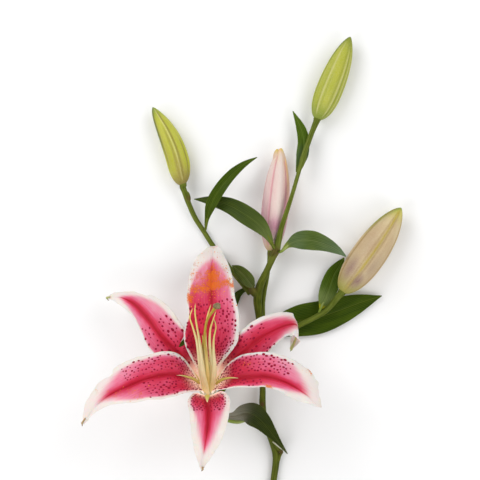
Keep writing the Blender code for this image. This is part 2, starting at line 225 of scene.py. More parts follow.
print("facts kept on a sheet:", FACTS)

# %% Rods along a path
WELD = 0.000005
TOO_STEEP = 0.8


def rings_along(path, steps):
    """Centre, side, up and radius of each ring, turning as little as it can."""
    points = [along(path, i / steps) for i in range(steps + 1)]
    centres = [Vector(p[:3]) for p in points]
    side = Vector((1.0, 0.0, 0.0))
    if abs((centres[1] - centres[0]).normalized().x) > TOO_STEEP:
        side = Vector((0.0, 1.0, 0.0))
    rings = []
    for i, centre in enumerate(centres):
        ahead = (centres[min(i + 1, steps)] - centres[max(i - 1, 0)]).normalized()
        side = (side - ahead * side.dot(ahead)).normalized()
        rings.append((centre, side, ahead.cross(side), points[i][3]))
    return rings


def plain_tone(place, t):
    return 0.0, 0.0, t


def end_tone(start, stop, amount=1.0):
    """Lets a rod take its end colour from start to stop."""
    return lambda place, t: (0.0, amount * ease(start, stop, t), t)


def rod(name, path, finish, node, slot, relief=None, tone=plain_tone, sides=20, steps=40):
    """A closed rod; relief(angle, t, radius) adds mm to its radius, tone(place, t) stores its colour."""
    rings = rings_along(path, steps)
    length = sum((rings[i + 1][0] - rings[i][0]).length for i in range(steps))
    bm = bmesh.new()
    bmesh.ops.create_grid(bm, x_segments=sides, y_segments=steps, size=1.0, calc_uvs=True)
    skin, colour = fact_stores(bm, ("skin", "tone"))
    for vert in bm.verts:
        t = (vert.co.y + 1) / 2
        centre, side, up, radius = rings[round(t * steps)]
        angle = math.pi * vert.co.x
        r = radius + (relief(angle, t, radius) if relief else 0.0)
        place = centre + (side * math.cos(angle) + up * math.sin(angle)) * r
        vert[skin] = Vector((math.cos(angle) * radius, math.sin(angle) * radius, t * length))
        vert[colour] = Vector(tone(place, t))
        vert.co = (place + SHIFT) * MM
    bmesh.ops.remove_doubles(bm, verts=bm.verts[:], dist=WELD)
    bmesh.ops.holes_fill(bm, edges=bm.edges[:], sides=0)
    bmesh.ops.recalc_face_normals(bm, faces=bm.faces[:])
    return keep(name, bm, [finish], node, slot)


print("rings on a short rod:", len(rings_along(((0, 0, 0, 1), (0, 0, 5, 1)), 4)))

# %% [markdown]
# ## Helpers for finishes
# A plant's colours change over every surface, so each finish mixes a few colours by facts stored on the
# piece (how near the margin, how deep the red, where the pollen fell) and by noise stretched along it.
# Effects that several finishes use are node groups; the shader and its constants stay in the material.
# A value in a node tree is wrapped so that +, - and * add the Math nodes, and it reads like a sum.

# %% Values in a node tree
class Wire:
    def __init__(self, socket):
        self.socket = socket

    def __add__(self, other):
        return maths("ADD", self, other)

    def __sub__(self, other):
        return maths("SUBTRACT", self, other)

    def __mul__(self, other):
        return maths("MULTIPLY", self, other)


def tree_of(*values):
    return next(value.socket.id_data for value in values if isinstance(value, Wire))


def node(tree, kind, **settings):
    made = tree.nodes.new("ShaderNode" + kind)
    for key, value in settings.items():
        setattr(made, key, value)
    return made


def feed(socket, value):
    """Links a wire, or sets a number, colour or vector."""
    if isinstance(value, Wire):
        value.socket.id_data.links.new(value.socket, socket)
    elif isinstance(value, tuple) and socket.type == "RGBA":
        socket.default_value = (*value, 1.0)
    else:
        socket.default_value = value


def maths(operation, a, b=0.0, clamp=False):
    made = node(tree_of(a), "Math", operation=operation, use_clamp=clamp)
    feed(made.inputs[0], a)
    feed(made.inputs[1], b)
    return Wire(made.outputs[0])


print("signs that join wires: + - *")

# %% Blends, ranges and stretched noise
SHARE_IN, COLOUR_A_IN, COLOUR_B_IN, COLOUR_OUT = 0, 6, 7, 2


def blend(share, a, b):
    made = node(tree_of(share, a, b), "Mix", data_type="RGBA", clamp_factor=True)
    feed(made.inputs[SHARE_IN], share)
    feed(made.inputs[COLOUR_A_IN], a)
    feed(made.inputs[COLOUR_B_IN], b)
    return Wire(made.outputs[COLOUR_OUT])


def reach(value, low, high, out_low=0.0, out_high=1.0):
    """Stretches low..high to out_low..out_high, smooth at both ends."""
    made = node(tree_of(value), "MapRange", interpolation_type="SMOOTHSTEP")
    for socket, given in zip(made.inputs[:5], (value, low, high, out_low, out_high)):
        feed(socket, given)
    return Wire(made.outputs[0])


def scaled(vector, scales):
    made = node(tree_of(vector), "VectorMath", operation="MULTIPLY")
    feed(made.inputs[0], vector)
    feed(made.inputs[1], scales)
    return Wire(made.outputs[0])


def stretched(vector, scales, detail=2.0, rough=0.5):
    """Noise with its own scale each way, from 0 to 1."""
    made = node(tree_of(vector), "TexNoise")
    settings = {"Vector": scaled(vector, scales), "Scale": 1.0, "Detail": detail, "Roughness": rough}
    for word, value in settings.items():
        feed(made.inputs[word], value)
    return Wire(made.outputs["Fac"])


def parts_of(vector):
    made = node(tree_of(vector), "SeparateXYZ")
    feed(made.inputs[0], vector)
    return [Wire(socket) for socket in made.outputs]


def shaded(value, stops):
    """Colours a value from the first stop to the last."""
    made = node(tree_of(value), "ValToRGB")
    elements = made.color_ramp.elements
    elements[0].color, elements[1].color = (*stops[0][1], 1.0), (*stops[-1][1], 1.0)
    for at, colour in stops[1:-1]:
        elements.new(at).color = (*colour, 1.0)
    feed(made.inputs[0], value)
    return Wire(made.outputs[0])


print("colours of a blend go into sockets", COLOUR_A_IN, "and", COLOUR_B_IN)

# %% Groups and the finishes made from them
def new_group(name, facts, colours=(), numbers=(), gives_painted_glow=False):
    """An empty node group; returns it with what it is given and the sockets of its result."""
    group = bpy.data.node_groups.new(name, "ShaderNodeTree")
    takes = {"Vector": facts, "Color": colours, "Float": numbers}
    gives = {"Color": ("Colour", "Glow") if gives_painted_glow else ("Colour",), "Float": ("Roughness", "Height")}
    for way, sockets in (("INPUT", takes), ("OUTPUT", gives)):
        for kind, words in sockets.items():
            for word in words:
                group.interface.new_socket(name=word, in_out=way, socket_type="NodeSocket" + kind)
    inner = group.nodes.new("NodeGroupInput").outputs
    given = {socket.name: Wire(socket) for socket in inner if socket.name}
    return group, given, group.nodes.new("NodeGroupOutput").inputs


def give(result, **values):
    for word, value in values.items():
        feed(result[word], value)


def new_finish(name, group, values, bump_mm, **constants):
    """A material whose colour, roughness and bump come from a group fed by the piece's stored facts; where
    the group gives a painted glow, that feeds its emission.
    """
    made = bpy.data.materials.new(name)
    made.use_nodes = True
    tree = made.node_tree
    shader = tree.nodes["Principled BSDF"]
    placed = node(tree, "Group", node_tree=group)
    for word in FACTS:
        if word.title() in placed.inputs:
            fact = node(tree, "Attribute", attribute_name=word)
            tree.links.new(fact.outputs["Vector"], placed.inputs[word.title()])
    for word, value in values.items():
        feed(placed.inputs[word], value)
    bump = node(tree, "Bump")
    bump.inputs["Strength"].default_value = 1.0
    bump.inputs["Distance"].default_value = bump_mm * MM
    tree.links.new(placed.outputs["Height"], bump.inputs["Height"])
    tree.links.new(bump.outputs["Normal"], shader.inputs["Normal"])
    tree.links.new(placed.outputs["Colour"], shader.inputs["Base Color"])
    tree.links.new(placed.outputs["Roughness"], shader.inputs["Roughness"])
    if "Glow" in placed.outputs:
        tree.links.new(placed.outputs["Glow"], shader.inputs["Emission Color"])
    for word, value in constants.items():
        shader.inputs[word.replace("_", " ")].default_value = value
    return made


print("facts a finish can read:", FACTS)

# %% [markdown]
# ## The open flower
# An oriental lily has three broad inner tepals and three narrower outer ones. Each rises from the throat
# as a trough, opens, and curls back at its tip, with a wavy white margin around deep pink. Each one is a
# grid laid along its midline: the midline gives distance from the flower's axis, degrees around it and
# height, and the half widths, folds and waves give the rest.

# %% Where the flower is and how its tepals run
FLOWER_CENTRE = Vector((-30.0, -75.5, 26.0))
FLOWER_LEAN = math.radians(30)
FLOWER_RIGHT = Vector((1.0, 0.0, 0.0))
FLOWER_UP = Vector((0.0, math.cos(FLOWER_LEAN), -math.sin(FLOWER_LEAN)))
FLOWER_AXIS = Vector((0.0, math.sin(FLOWER_LEAN), math.cos(FLOWER_LEAN)))
# How tightly a tepal is rolled into a trough, from its base to its tip.
TROUGH = (0.2, 0.12, 0.06, 0.02, 0.01, 0, -0.005, -0.005, 0)
# All lists run from base to tip: half widths and white margins in mm, folds in degrees, and how deep the
# red is along the midrib and beside it. A nick or bite is (side, t, width in t, depth in mm).
TEPALS = {
    "tepal_inner_top": {
        "mid": (
            (5, 90, 1.5), (7.5, 90, 13), (14, 90, 26), (25, 89, 38), (40, 86, 45), (58, 87, 49),
            (79, 88, 48), (94, 88, 46), (106, 88, 42),
        ),
        "left": (2.2, 5.5, 12, 19, 18, 19, 17, 11, 3), "right": (2.2, 5.5, 12.5, 23, 22, 18, 15.5, 10.5, 3),
        "wave": 0.5, "white_left": (1, 1, 1, 0.5, 0.4, 0.8, 3.8, 8.5, 12),
        "white_right": (1, 1.2, 2, 2.2, 2, 1.8, 3.4, 7.5, 12), "white_tip": 12,
        "deep": (0.3, 0.5, 0.8, 0.9, 0.95, 0.88, 0.55, 0.18, 0),
        "deep_side": (0.3, 0.5, 0.75, 0.72, 0.58, 0.42, 0.16, 0.0, 0), "lean": -0.3,
    },
    "tepal_inner_left": {
        "mid": (
            (5, 207, 1.5), (7.5, 205, 13), (14, 199, 26), (25, 191, 39), (42, 193, 45), (60, 196, 46),
            (75, 197, 42), (89, 199, 35), (102, 202, 24),
        ),
        "left": (2.2, 5.5, 12, 19, 20.5, 15, 9, 5, 0.4),
        "right": (2.2, 5.5, 12, 18, 18.5, 18.5, 16, 10, 0.4), "wave": 1.5,
        "white_left": (1, 1, 1, 1.2, 1.4, 1.4, 1.2, 2, 5),
        "white_right": (1, 1, 1.2, 1.6, 2, 2.6, 4, 4.5, 6), "white_tip": 19,
        "deep": (0.3, 0.5, 0.85, 0.95, 1, 1, 0.95, 0.85, 0.5),
        "deep_side": (0.3, 0.5, 0.62, 0.6, 0.45, 0.3, 0.2, 0.15, 0.1), "lean": -0.1,
        "nicks": ((1, 0.69, 0.02, 3.0),),
    },
    "tepal_inner_right": {
        "mid": (
            (5, 333, 1.5), (7.5, 335, 13), (14, 339, 26), (25, 345, 37), (42, 350, 42), (59, 348, 44),
            (72, 346, 40), (83, 344, 34), (91, 343, 28),
        ),
        "left": (2.2, 5.5, 12, 18, 19, 20, 18, 13, 0.4), "right": (2.2, 5.5, 9, 8, 8.5, 9, 8.5, 5, 0.4),
        "fold_right": (0, 0, 0, 10, 30, 40, 40, 30, 0), "wave": 2.5,
        "white_left": (1, 0.8, 0.6, 0.6, 1, 2.6, 5.5, 7.5, 8),
        "white_right": (1, 0.6, 0.5, 0.4, 0.5, 1.2, 3, 4, 4), "white_tip": 18,
        "deep": (0.4, 0.6, 0.9, 1, 1, 1, 0.9, 0.65, 0.3),
        "deep_side": (0.3, 0.5, 0.75, 0.75, 0.48, 0.2, 0.1, 0.05, 0), "lean": 0.12,
        "nicks": ((-1, 0.86, 0.02, 2.4),),
    },
    "tepal_outer_bottom": {
        "mid": (
            (5.6, 270, 1.5), (10.5, 270, 12), (17, 270, 24.5), (26, 271, 34), (38, 272, 40),
            (53, 270.5, 42), (64, 269, 40), (72, 268, 35), (77, 268, 28),
        ),
        "left": (2.2, 5.5, 12.8, 17.4, 15.6, 12.7, 9, 4.5, 0.4),
        "right": (2.2, 4.5, 10.5, 15, 14, 12, 8.5, 4.5, 0.4), "wave": 0.5,
        "white_left": (0.8, 0.7, 1.6, 2.4, 3.4, 4.6, 4.4, 4, 4),
        "white_right": (0.8, 0.7, 0.8, 1.4, 3.0, 4.4, 4.4, 4, 4), "white_tip": 14,
        "deep": (0.8, 0.85, 1, 1, 1, 1, 0.9, 0.7, 0.35),
        "deep_side": (0.8, 0.9, 0.9, 0.62, 0.28, 0.16, 0.08, 0.05, 0),
    },
    "tepal_outer_left": {
        "mid": (
            (5.6, 152, 1.5), (10.5, 150, 12), (17, 148, 24.5), (26, 147, 35), (42, 144, 42), (61, 139, 45),
            (78, 137, 44), (93, 138, 39), (103, 141, 32),
        ),
        "left": (2.2, 4.5, 9, 13, 14, 12, 9, 6, 0.4), "right": (2.2, 4.5, 9, 16, 18.5, 18.5, 13, 6, 0.4),
        "fold_left": (0, 0, 0, 10, 30, 50, 50, 30, 0), "wave": 1.0,
        "white_left": (0.3, 0.3, 0.1, 0.1, 0.1, 0.4, 1.2, 2, 3),
        "white_right": (0.5, 0.5, 0.6, 1, 2, 3.2, 3.2, 3, 4), "white_tip": 13,
        "deep": (0.6, 0.75, 0.95, 1, 1, 1, 0.95, 0.8, 0.4),
        "deep_side": (0.6, 0.7, 0.85, 0.66, 0.36, 0.16, 0.1, 0.08, 0.05), "nicks": ((1, 0.73, 0.02, 1.8),),
        "bites": ((1, 0.405, 0.022, 13),),
    },
    "tepal_outer_right": {
        "mid": (
            (5.6, 30, 1.5), (10.5, 30, 12), (17, 29, 24.5), (29, 28, 36), (47, 30, 45), (66, 29, 48),
            (78, 28, 42), (78, 26, 28), (71, 23, 15),
        ),
        "left": (2.2, 4.5, 9, 14, 14, 13, 11, 8, 0.4), "right": (2.2, 4.5, 9, 13, 13, 11, 9, 6, 0.4),
        "fold_right": (0, 0, 0, 10, 40, 60, 50, 30, 0), "wave": 2.0,
        "white_left": (0.5, 0.5, 0.6, 0.9, 1.8, 2.4, 2.6, 3.4, 4),
        "white_right": (0.3, 0.3, 0.2, 0.2, 0.3, 0.8, 2, 4, 4), "white_tip": 24,
        "deep": (0.6, 0.8, 1, 1, 1, 1, 1, 0.8, 0.3),
        "deep_side": (0.6, 0.75, 0.85, 0.8, 0.7, 0.6, 0.5, 0.3, 0.2),
    },
}
print("tepals:", len(TEPALS))

# %% A place on a tepal
Row = collections.namedtuple("Row", "centre ahead across inward sides curl")
Side = collections.namedtuple("Side", "half fold white")
FLAT = (0, 0)
LOOK = 0.004
NARROWEST, THINNEST_WHITE = 0.35, 0.05
FREE_FROM, FREE_TO = 0.28, 0.6
RAGGED, BUCKLED = 0.45, 0.25
# Each wave along the margin: height in mm, how much it keeps to the rim, waves per tepal, and its phase.
MARGIN_WAVES = ((1.1, 2, 3.2, 1.0), (0.55, 4, 8.3, 2.7), (0.25, 6, 19, 4.1))
OTHER_SIDE_PHASE = 2.2
GROOVE, GROOVE_WIDTH, MIDRIB, MIDRIB_WIDTH = 0.7, 2.2, 0.5, 0.8
TEPAL_VEIN, TEPAL_VEIN_GAP = 0.07, 1.7


def side_of(u):
    return "left" if u < 0 else "right"


def tepal_slot(name):
    return "tepal_inner_pink" if "inner" in name else "tepal_outer_pink"


def away_from_axis(degrees):
    turn = math.radians(degrees)
    return FLOWER_RIGHT * math.cos(turn) + FLOWER_UP * math.sin(turn)


def flower_place(r, degrees, h):
    return FLOWER_CENTRE + away_from_axis(degrees) * r + FLOWER_AXIS * h


@functools.lru_cache(maxsize=None)
def tepal_row(name, t):
    """Everything that is the same right across a tepal at t."""
    tepal = TEPALS[name]
    mid = tepal["mid"]
    low, high = along(mid, max(t - LOOK, 0)), along(mid, min(t + LOOK, 1))
    ahead = (flower_place(*high) - flower_place(*low)).normalized()
    inward = FLOWER_AXIS * (high[0] - low[0]) - away_from_axis(along(mid, t)[1]) * (high[2] - low[2])
    across = ahead.cross(inward).normalized()
    sides = {
        way: Side(
            max(along(tepal[way], t), NARROWEST),
            math.radians(max(along(tepal.get("fold_" + way, FLAT), t), 0)),
            max(along(tepal["white_" + way], t), THINNEST_WHITE),
        )
        for way in ("left", "right")
    }
    return Row(flower_place(*along(mid, t)), ahead, across, across.cross(ahead), sides, along(TROUGH, t))


def tepal_place(name, u, t):
    """Where (u, t) is, its offset from the midline in mm, and the half width there."""
    tepal, row = TEPALS[name], tepal_row(name, t)
    half, fold, _ = row.sides[side_of(u)]
    way = 1 if u > 0 else -1
    free = ease(FREE_FROM, FREE_TO, t)
    phase = tepal["wave"] + (0 if u > 0 else OTHER_SIDE_PHASE)
    rim = abs(u) ** 6
    for bite_way, bite_t, width, depth in tepal.get("bites", ()):
        if bite_way == way:
            half -= depth * bell(t - bite_t, width)
    offset = u * half
    offset += way * rim * free * RAGGED * noise.noise(Vector((t * 14, way * 3.0, phase * 5)))
    for nick_way, nick_t, width, depth in tepal.get("nicks", ()):
        if nick_way == way:
            nick = ease(0, width * 0.6, t - nick_t) * (1 - ease(width, width * 5, t - nick_t))
            offset -= way * rim * depth * nick
    x, rise = offset, 0.0
    if abs(row.curl) > 0.00001:
        x, rise = math.sin(row.curl * offset) / row.curl, (1 - math.cos(row.curl * offset)) / row.curl
    rise -= abs(x) * math.sin(fold)
    x *= math.cos(fold)
    for high, steepness, count, shift in MARGIN_WAVES:
        rise += free * high * abs(u) ** steepness * math.sin(math.tau * count * t + phase * shift)
    rise -= GROOVE * bell(offset, GROOVE_WIDTH) * min(1, t * 6)
    rise -= MIDRIB * bell(offset, MIDRIB_WIDTH) * ease(0.1, 0.3, t) * (1 - ease(0.9, 1, t))
    rise += TEPAL_VEIN * math.cos(math.tau * offset / TEPAL_VEIN_GAP) * ease(0.15, 0.4, t) * (1 - rim)
    rise += BUCKLED * noise.noise(Vector((offset / 6, t * 12, phase)))
    return row.centre + row.across * x + row.inward * rise, offset, half


def tepal_length(name, steps=40):
    spots = [tepal_row(name, i / steps).centre for i in range(steps + 1)]
    return sum((b - a).length for a, b in zip(spots, spots[1:]))


TEPAL_LENGTHS = {name: tepal_length(name) for name in TEPALS}
print("lengths in mm:", {name: round(length) for name, length in TEPAL_LENGTHS.items()})

# %% [markdown]
# The colour facts of a tepal are worked out with its shape: how white (near the margin and the tip), how
# deep the red (along the midrib and towards the base), how near the pale throat, and how much orange
# pollen has fallen on it. The pollen lies in a band across the top tepal with loose grains elsewhere.

# %% Colour facts of a tepal
# Each patch of pollen: mm from the midline, t, length in t, half width in mm, and how thick it lies.
POLLEN = {
    "tepal_inner_top": (
        (1, 0.73, 0.05, 6, 0.75), (2, 0.68, 0.035, 8, 0.75), (-6, 0.665, 0.035, 7, 0.6),
        (11, 0.69, 0.025, 6, 0.6), (16, 0.675, 0.03, 3, 0.6), (-13, 0.66, 0.035, 5, 0.55),
        (-17, 0.61, 0.035, 2.6, 0.7), (0, 0.79, 0.03, 3, 0.5), (10, 0.77, 0.025, 3, 0.4),
        (-8, 0.72, 0.04, 7, 0.42), (0, 0.64, 0.03, 12, 0.36), (-13, 0.8, 0.05, 4, 0.26),
        (-15, 0.73, 0.06, 2.5, 0.34), (4, 0.88, 0.1, 9, 0.17), (0, 0.985, 0.012, 5, 0.4),
    ),
    "tepal_inner_left": (
        (-5, 0.63, 0.04, 3, 0.3), (-3, 0.72, 0.04, 2.4, 0.36), (8, 0.82, 0.02, 2, 0.26),
        (-11, 0.6, 0.02, 2.4, 0.42), (4, 0.5, 0.06, 5, 0.15),
    ),
    "tepal_inner_right": (
        (-18, 0.765, 0.03, 2.4, 0.62), (8, 0.55, 0.03, 2, 0.75), (-10, 0.42, 0.04, 2, 0.36),
    ),
}
THROAT = (0.16, 0.34)
MIDRIB_GLOW, MIDRIB_LINE = 3.2, 0.55


def crowded_to_rim(u):
    """Draws the columns of a grid closer together towards the margins."""
    return u * (0.55 + 0.45 * abs(u))


def tepal_pollen(name, offset, t):
    return max(
        (amount * 1.25 * bell(offset - at, wide * 1.2) * bell(t - at_t, long)
         for at, at_t, long, wide, amount in POLLEN.get(name, ())),
        default=0.0,
    )


def tepal_corner(name, u, t):
    u = crowded_to_rim(u)
    tepal = TEPALS[name]
    place, offset, half = tepal_place(name, u, t)
    length = TEPAL_LENGTHS[name]
    unbitten, _, white = tepal_row(name, t).sides[side_of(u)]
    inset, from_tip = unbitten - abs(offset), (1 - t) * length
    white_end = tepal["white_tip"] * (1 + 0.9 * (abs(offset) / max(half, 1)))
    pale = 1 - ease(white * 0.25, white * 2.2 + 1.2, inset)
    pale = 1 - (1 - pale) * ease(white_end * 0.3, white_end * 1.85, from_tip)
    middle = bell(offset, MIDRIB_GLOW)
    deep = along(tepal["deep_side"], t) * (1 - middle) + along(tepal["deep"], t) * middle
    deep *= 0.25 + 0.75 * ease(white * 0.5, white * 2.8 + 3.0, inset)
    deep *= 0.45 + 0.55 * ease(white_end * 0.6, white_end * 2.6, from_tip)
    deep += tepal.get("lean", 0.0) * (offset / half) * ease(0.1, 0.3, t) * (1 - ease(0.5, 0.75, t))
    deep += 0.3 * bell(offset, MIDRIB_LINE) * ease(0.3, 0.5, t) * (1 - ease(0.93, 0.98, t))
    fleck = ease(0.1, 0.2, t) * (1 - ease(0.3, 0.52, t)) * ease(0.15, 0.5, abs(u))
    return (
        place, (offset, t * length, half - abs(offset)), (pale, deep, 1 - ease(*THROAT, t)),
        (tepal_pollen(name, offset, t), fleck, t),
    )


print("patches of pollen:", sum(len(patches) for patches in POLLEN.values()))

# %% Finish of the tepals
BLACK = (0.0, 0.0, 0.0)
PINKS = (
    (0.0, (0.72, 0.29, 0.38)), (0.18, (0.69, 0.17, 0.28)), (0.4, (0.62, 0.072, 0.15)),
    (0.68, (0.52, 0.020, 0.060)), (1.0, (0.36, 0.004, 0.020)),
)
tepal_group, given, result = new_group("tepal skin", ("Skin", "Tone", "Dust"), (), ("Fade", "Back Rib"), True)
skin = given["Skin"]
streak = stretched(skin, (0.95, 0.06, 0.0), 3.0, 0.6)
cloud = stretched(skin, (0.14, 0.08, 0.0))
grain = stretched(skin, (2.4, 1.5, 0.0), 2.0, 0.6)
dusting = stretched(skin, (0.4, 0.45, 0.0), 4.0, 0.7) * 0.5 + stretched(skin, (1.7, 1.5, 0.0), 3.0, 0.7) * 0.5
pale, deep, throat = parts_of(given["Tone"])
pollen, fleck, _ = parts_of(given["Dust"])

# Pink, white at the margin and cream in the throat.
wander = (streak - 0.5) * 0.75
pinks = shaded(deep + wander * 0.5 + (cloud - 0.5) * 0.5, PINKS)
snow = blend(cloud, (0.76, 0.69, 0.68), (0.74, 0.69, 0.63))
colour = blend(reach(pale + wander * 0.8, 0.1, 0.95), pinks, snow)
colour = blend(throat * 0.92, colour, blend(cloud, (0.84, 0.72, 0.54), (0.86, 0.60, 0.56)))

# Small flecks between the papillae, then the paler, ribbed back.
cells = node(tepal_group, "TexVoronoi", feature="F1")
feed(cells.inputs["Vector"], scaled(skin, (0.62, 0.42, 0.0)))
feed(cells.inputs["Scale"], 1.0)
speck = reach(Wire(cells.outputs["Distance"]), 0.16, 0.34, 1.0, 0.0) * (fleck * 0.7)
colour = blend(speck, colour, (0.52, 0.03, 0.09))
back_rib = reach(maths("ABSOLUTE", parts_of(skin)[0]), 0.6, 1.8, 1.0, 0.0)
colour = blend(given["Fade"], colour, blend(0.25, snow, colour))
colour = blend(back_rib * given["Back Rib"], colour, (0.46, 0.46, 0.12))

# Pollen lies where its fact beats a ragged noise.
dusted = maths("MULTIPLY", (dusting - 0.5) * 3.2 + pollen - 0.39, 3.2, True) * reach(pollen, 0.02, 0.1)
colour = blend(dusted * 0.88, colour, blend(grain, (0.82, 0.22, 0.01), (0.56, 0.08, 0.01)))
# The glow is painted light: near the base the tepal's own colour feeds its emission, lifting the shade of the
# deep throat.
give(
    result, Colour=colour, Roughness=grain * 0.14 + (dusted * 0.3 + 0.4),
    Height=streak * 0.9 + grain * 0.35 + dusted * 0.8, Glow=blend(throat * 0.38, BLACK, colour),
)
# How faded each side of a tepal is, and how green its rib.
TEPAL_SIDES = {"tepal_face": (0.0, 0.0), "tepal_back_inner": (0.55, 0.35), "tepal_back_outer": (0.8, 0.9)}
tepal_face, inner_back, outer_back = (
    new_finish(
        name, tepal_group, {"Fade": fade, "Back Rib": rib}, bump_mm=0.16, Specular_IOR_Level=0.15,
        Subsurface_Weight=0.3, Subsurface_Scale=0.004, Emission_Strength=1.0,
    )
    for name, (fade, rib) in TEPAL_SIDES.items()
)
print("finishes:", [m.name for m in (tepal_face, inner_back, outer_back)])

# %% Build the tepals
TEPAL_GRID = (64, 150)
TEPAL_THICKNESS, TEPAL_RIM_SHARE, TEPAL_RIM_WIDTH = 0.95, 0.3, 5
for name in TEPALS:
    bm = sheet(*TEPAL_GRID, lambda u, t: tepal_corner(name, u, t))
    distances = rim_distances(bm)
    back = inner_back if "inner" in name else outer_back
    made = keep(name + "_bloom", bm, [tepal_face, back], name, tepal_slot(name))
    thicken(made, TEPAL_THICKNESS, TEPAL_RIM_SHARE, TEPAL_RIM_WIDTH, distances)
    print(name, len(made.data.polygons), "faces")

# %% [markdown]
# The dark dots on the inner half of each tepal are raised papillae. They could be a bump in the finish,
# but up close they catch light from the side, so each is a small low mound set on the surface. Pollen that
# has dropped from the anthers clumps, so the thickest of it is set on the tepal as tiny grains.

# %% Finish of papillae and pollen
def mottled_finish(name, scale, dark, light, roughness, specular, spread=None):
    """A finish for tiny things: two colours in soft spots."""
    group, given, result = new_group(name + " skin", ("Skin",))
    mottle = stretched(given["Skin"], (scale, scale, scale), 1.0)
    share = reach(mottle, *spread) if spread else mottle
    give(result, Colour=blend(share, dark, light), Roughness=mottle * 0.2 + roughness, Height=mottle)
    return new_finish(name, group, {}, bump_mm=0.05, Specular_IOR_Level=specular)


spot_finish = mottled_finish("papilla_crimson", 0.6, (0.20, 0.002, 0.020), (0.34, 0.005, 0.035), 0.5, 0.12)
pollen_finish = mottled_finish(
    "pollen_orange", 0.5, (0.66, 0.13, 0.01), (0.88, 0.34, 0.03), 0.7, 0.1, spread=(0.3, 0.7),
)
print("finishes:", spot_finish.name, pollen_finish.name)

# %% Papillae
# Each patch of papillae: how many, from t to t, from side to side, and how large.
SPOTS = {
    "tepal_inner_top": (
        (76, 0.22, 0.6, 0.1, 0.95, 1.0), (60, 0.22, 0.58, -0.97, -0.15, 1.0),
        (84, 0.16, 0.38, -0.97, 0.97, 0.85),
    ),
    "tepal_inner_left": (
        (84, 0.2, 0.64, 0.2, 0.9, 0.85), (70, 0.18, 0.56, -0.92, -0.15, 0.95),
        (76, 0.12, 0.34, -0.95, 0.95, 0.85),
    ),
    "tepal_inner_right": (
        (92, 0.18, 0.64, -0.95, -0.2, 1.0), (26, 0.16, 0.5, 0.25, 0.9, 0.8),
        (76, 0.12, 0.32, -0.95, 0.95, 0.85),
    ),
    "tepal_outer_bottom": ((46, 0.26, 0.47, -0.85, -0.12, 0.9), (46, 0.26, 0.46, 0.12, 0.85, 0.9)),
    "tepal_outer_left": ((30, 0.26, 0.6, 0.18, 0.85, 1.2), (26, 0.3, 0.62, -0.92, -0.2, 1.1)),
    "tepal_outer_right": ((26, 0.24, 0.54, -0.88, -0.18, 1.1), (26, 0.24, 0.56, 0.2, 0.92, 1.0)),
}
MOST_TRIES = 6000
ROOM, MARGIN_ROOM = 2.2, 0.7


def papilla(bm, skin, name, u, t, scale, chance):
    """One low mound that stands on the tepal."""
    place, offset, _ = tepal_place(name, u, t)
    du = tepal_place(name, min(u + 0.03, 1), t)[0] - tepal_place(name, max(u - 0.03, -1), t)[0]
    dt = tepal_place(name, u, t + LOOK)[0] - tepal_place(name, u, t - LOOK)[0]
    up = du.cross(dt).normalized()
    size = (0.66 + 0.42 * chance.random() ** 2) * scale
    long, wide = dt.normalized() * size * chance.uniform(1.0, 1.5), du.normalized() * size
    for vert in bmesh.ops.create_uvsphere(bm, u_segments=8, v_segments=5, radius=1.0)["verts"]:
        x, y, z = vert.co
        vert[skin] = Vector((offset + x, t * 100 + y, z))
        vert.co = (place + SHIFT + up * (0.3 + z * 0.4) + wide * x + long * y) * MM


def papillae(name, chance):
    """Scatters mounds with room between them, larger towards the middle of the tepal."""
    bm = bmesh.new()
    skin, = fact_stores(bm, ("skin",))
    taken = []
    for count, low, high, side_low, side_high, scale in SPOTS[name]:
        tries = 0
        while count > 0 and tries < MOST_TRIES:
            tries += 1
            t, u = chance.uniform(low, high), chance.uniform(side_low, side_high)
            place, offset, half = tepal_place(name, u, t)
            white = tepal_row(name, t).sides[side_of(u)].white
            crowded = any((place - other).length < ROOM * scale for other in taken)
            if half - abs(offset) < MARGIN_ROOM + white or crowded:
                continue
            taken.append(place)
            count -= 1
            papilla(bm, skin, name, u, t, scale, chance)
    bmesh.ops.recalc_face_normals(bm, faces=bm.faces[:])
    keep(name + "_papillae", bm, [spot_finish], None, tepal_slot(name))
    return len(taken)


SEED = 11
chance = random.Random(SEED)
print("papillae:", {name: papillae(name, chance) for name in TEPALS})


# %% Grains of pollen
POLLEN_FROM, POLLEN_TO, BARE_MARGIN = 0.1, 0.99, 0.5


def pollen_grains(name, chance):
    """Small clumps of pollen, thickest where the anthers brushed the tepal."""
    bm = bmesh.new()
    skin, = fact_stores(bm, ("skin",))
    laid = 0
    for at, at_t, long, wide, amount in POLLEN[name]:
        for _ in range(int(amount * long * 100 * wide * 2.0) + 4):
            t, offset = chance.gauss(at_t, long * 1.1), chance.gauss(at, wide * 1.1)
            row = tepal_row(name, min(max(t, POLLEN_FROM), POLLEN_TO))
            half = row.sides[side_of(offset)].half
            if not POLLEN_FROM < t < POLLEN_TO or abs(offset) > half - BARE_MARGIN:
                continue
            place = tepal_place(name, offset / half, t)[0] + SHIFT + row.inward * 0.4
            size = 0.24 + 0.34 * chance.random() ** 2
            for vert in bmesh.ops.create_icosphere(bm, subdivisions=1, radius=1.0)["verts"]:
                vert[skin] = Vector((offset, t * 100, 0.0)) + vert.co
                flat = vert.co - row.inward * vert.co.dot(row.inward) * 0.5
                vert.co = (place + flat * size) * MM
            laid += 1
    bmesh.ops.recalc_face_normals(bm, faces=bm.faces[:])
    keep(name + "_pollen", bm, [pollen_finish], None, tepal_slot(name))
    return laid


print("pollen clumps:", {name: pollen_grains(name, chance) for name in POLLEN})
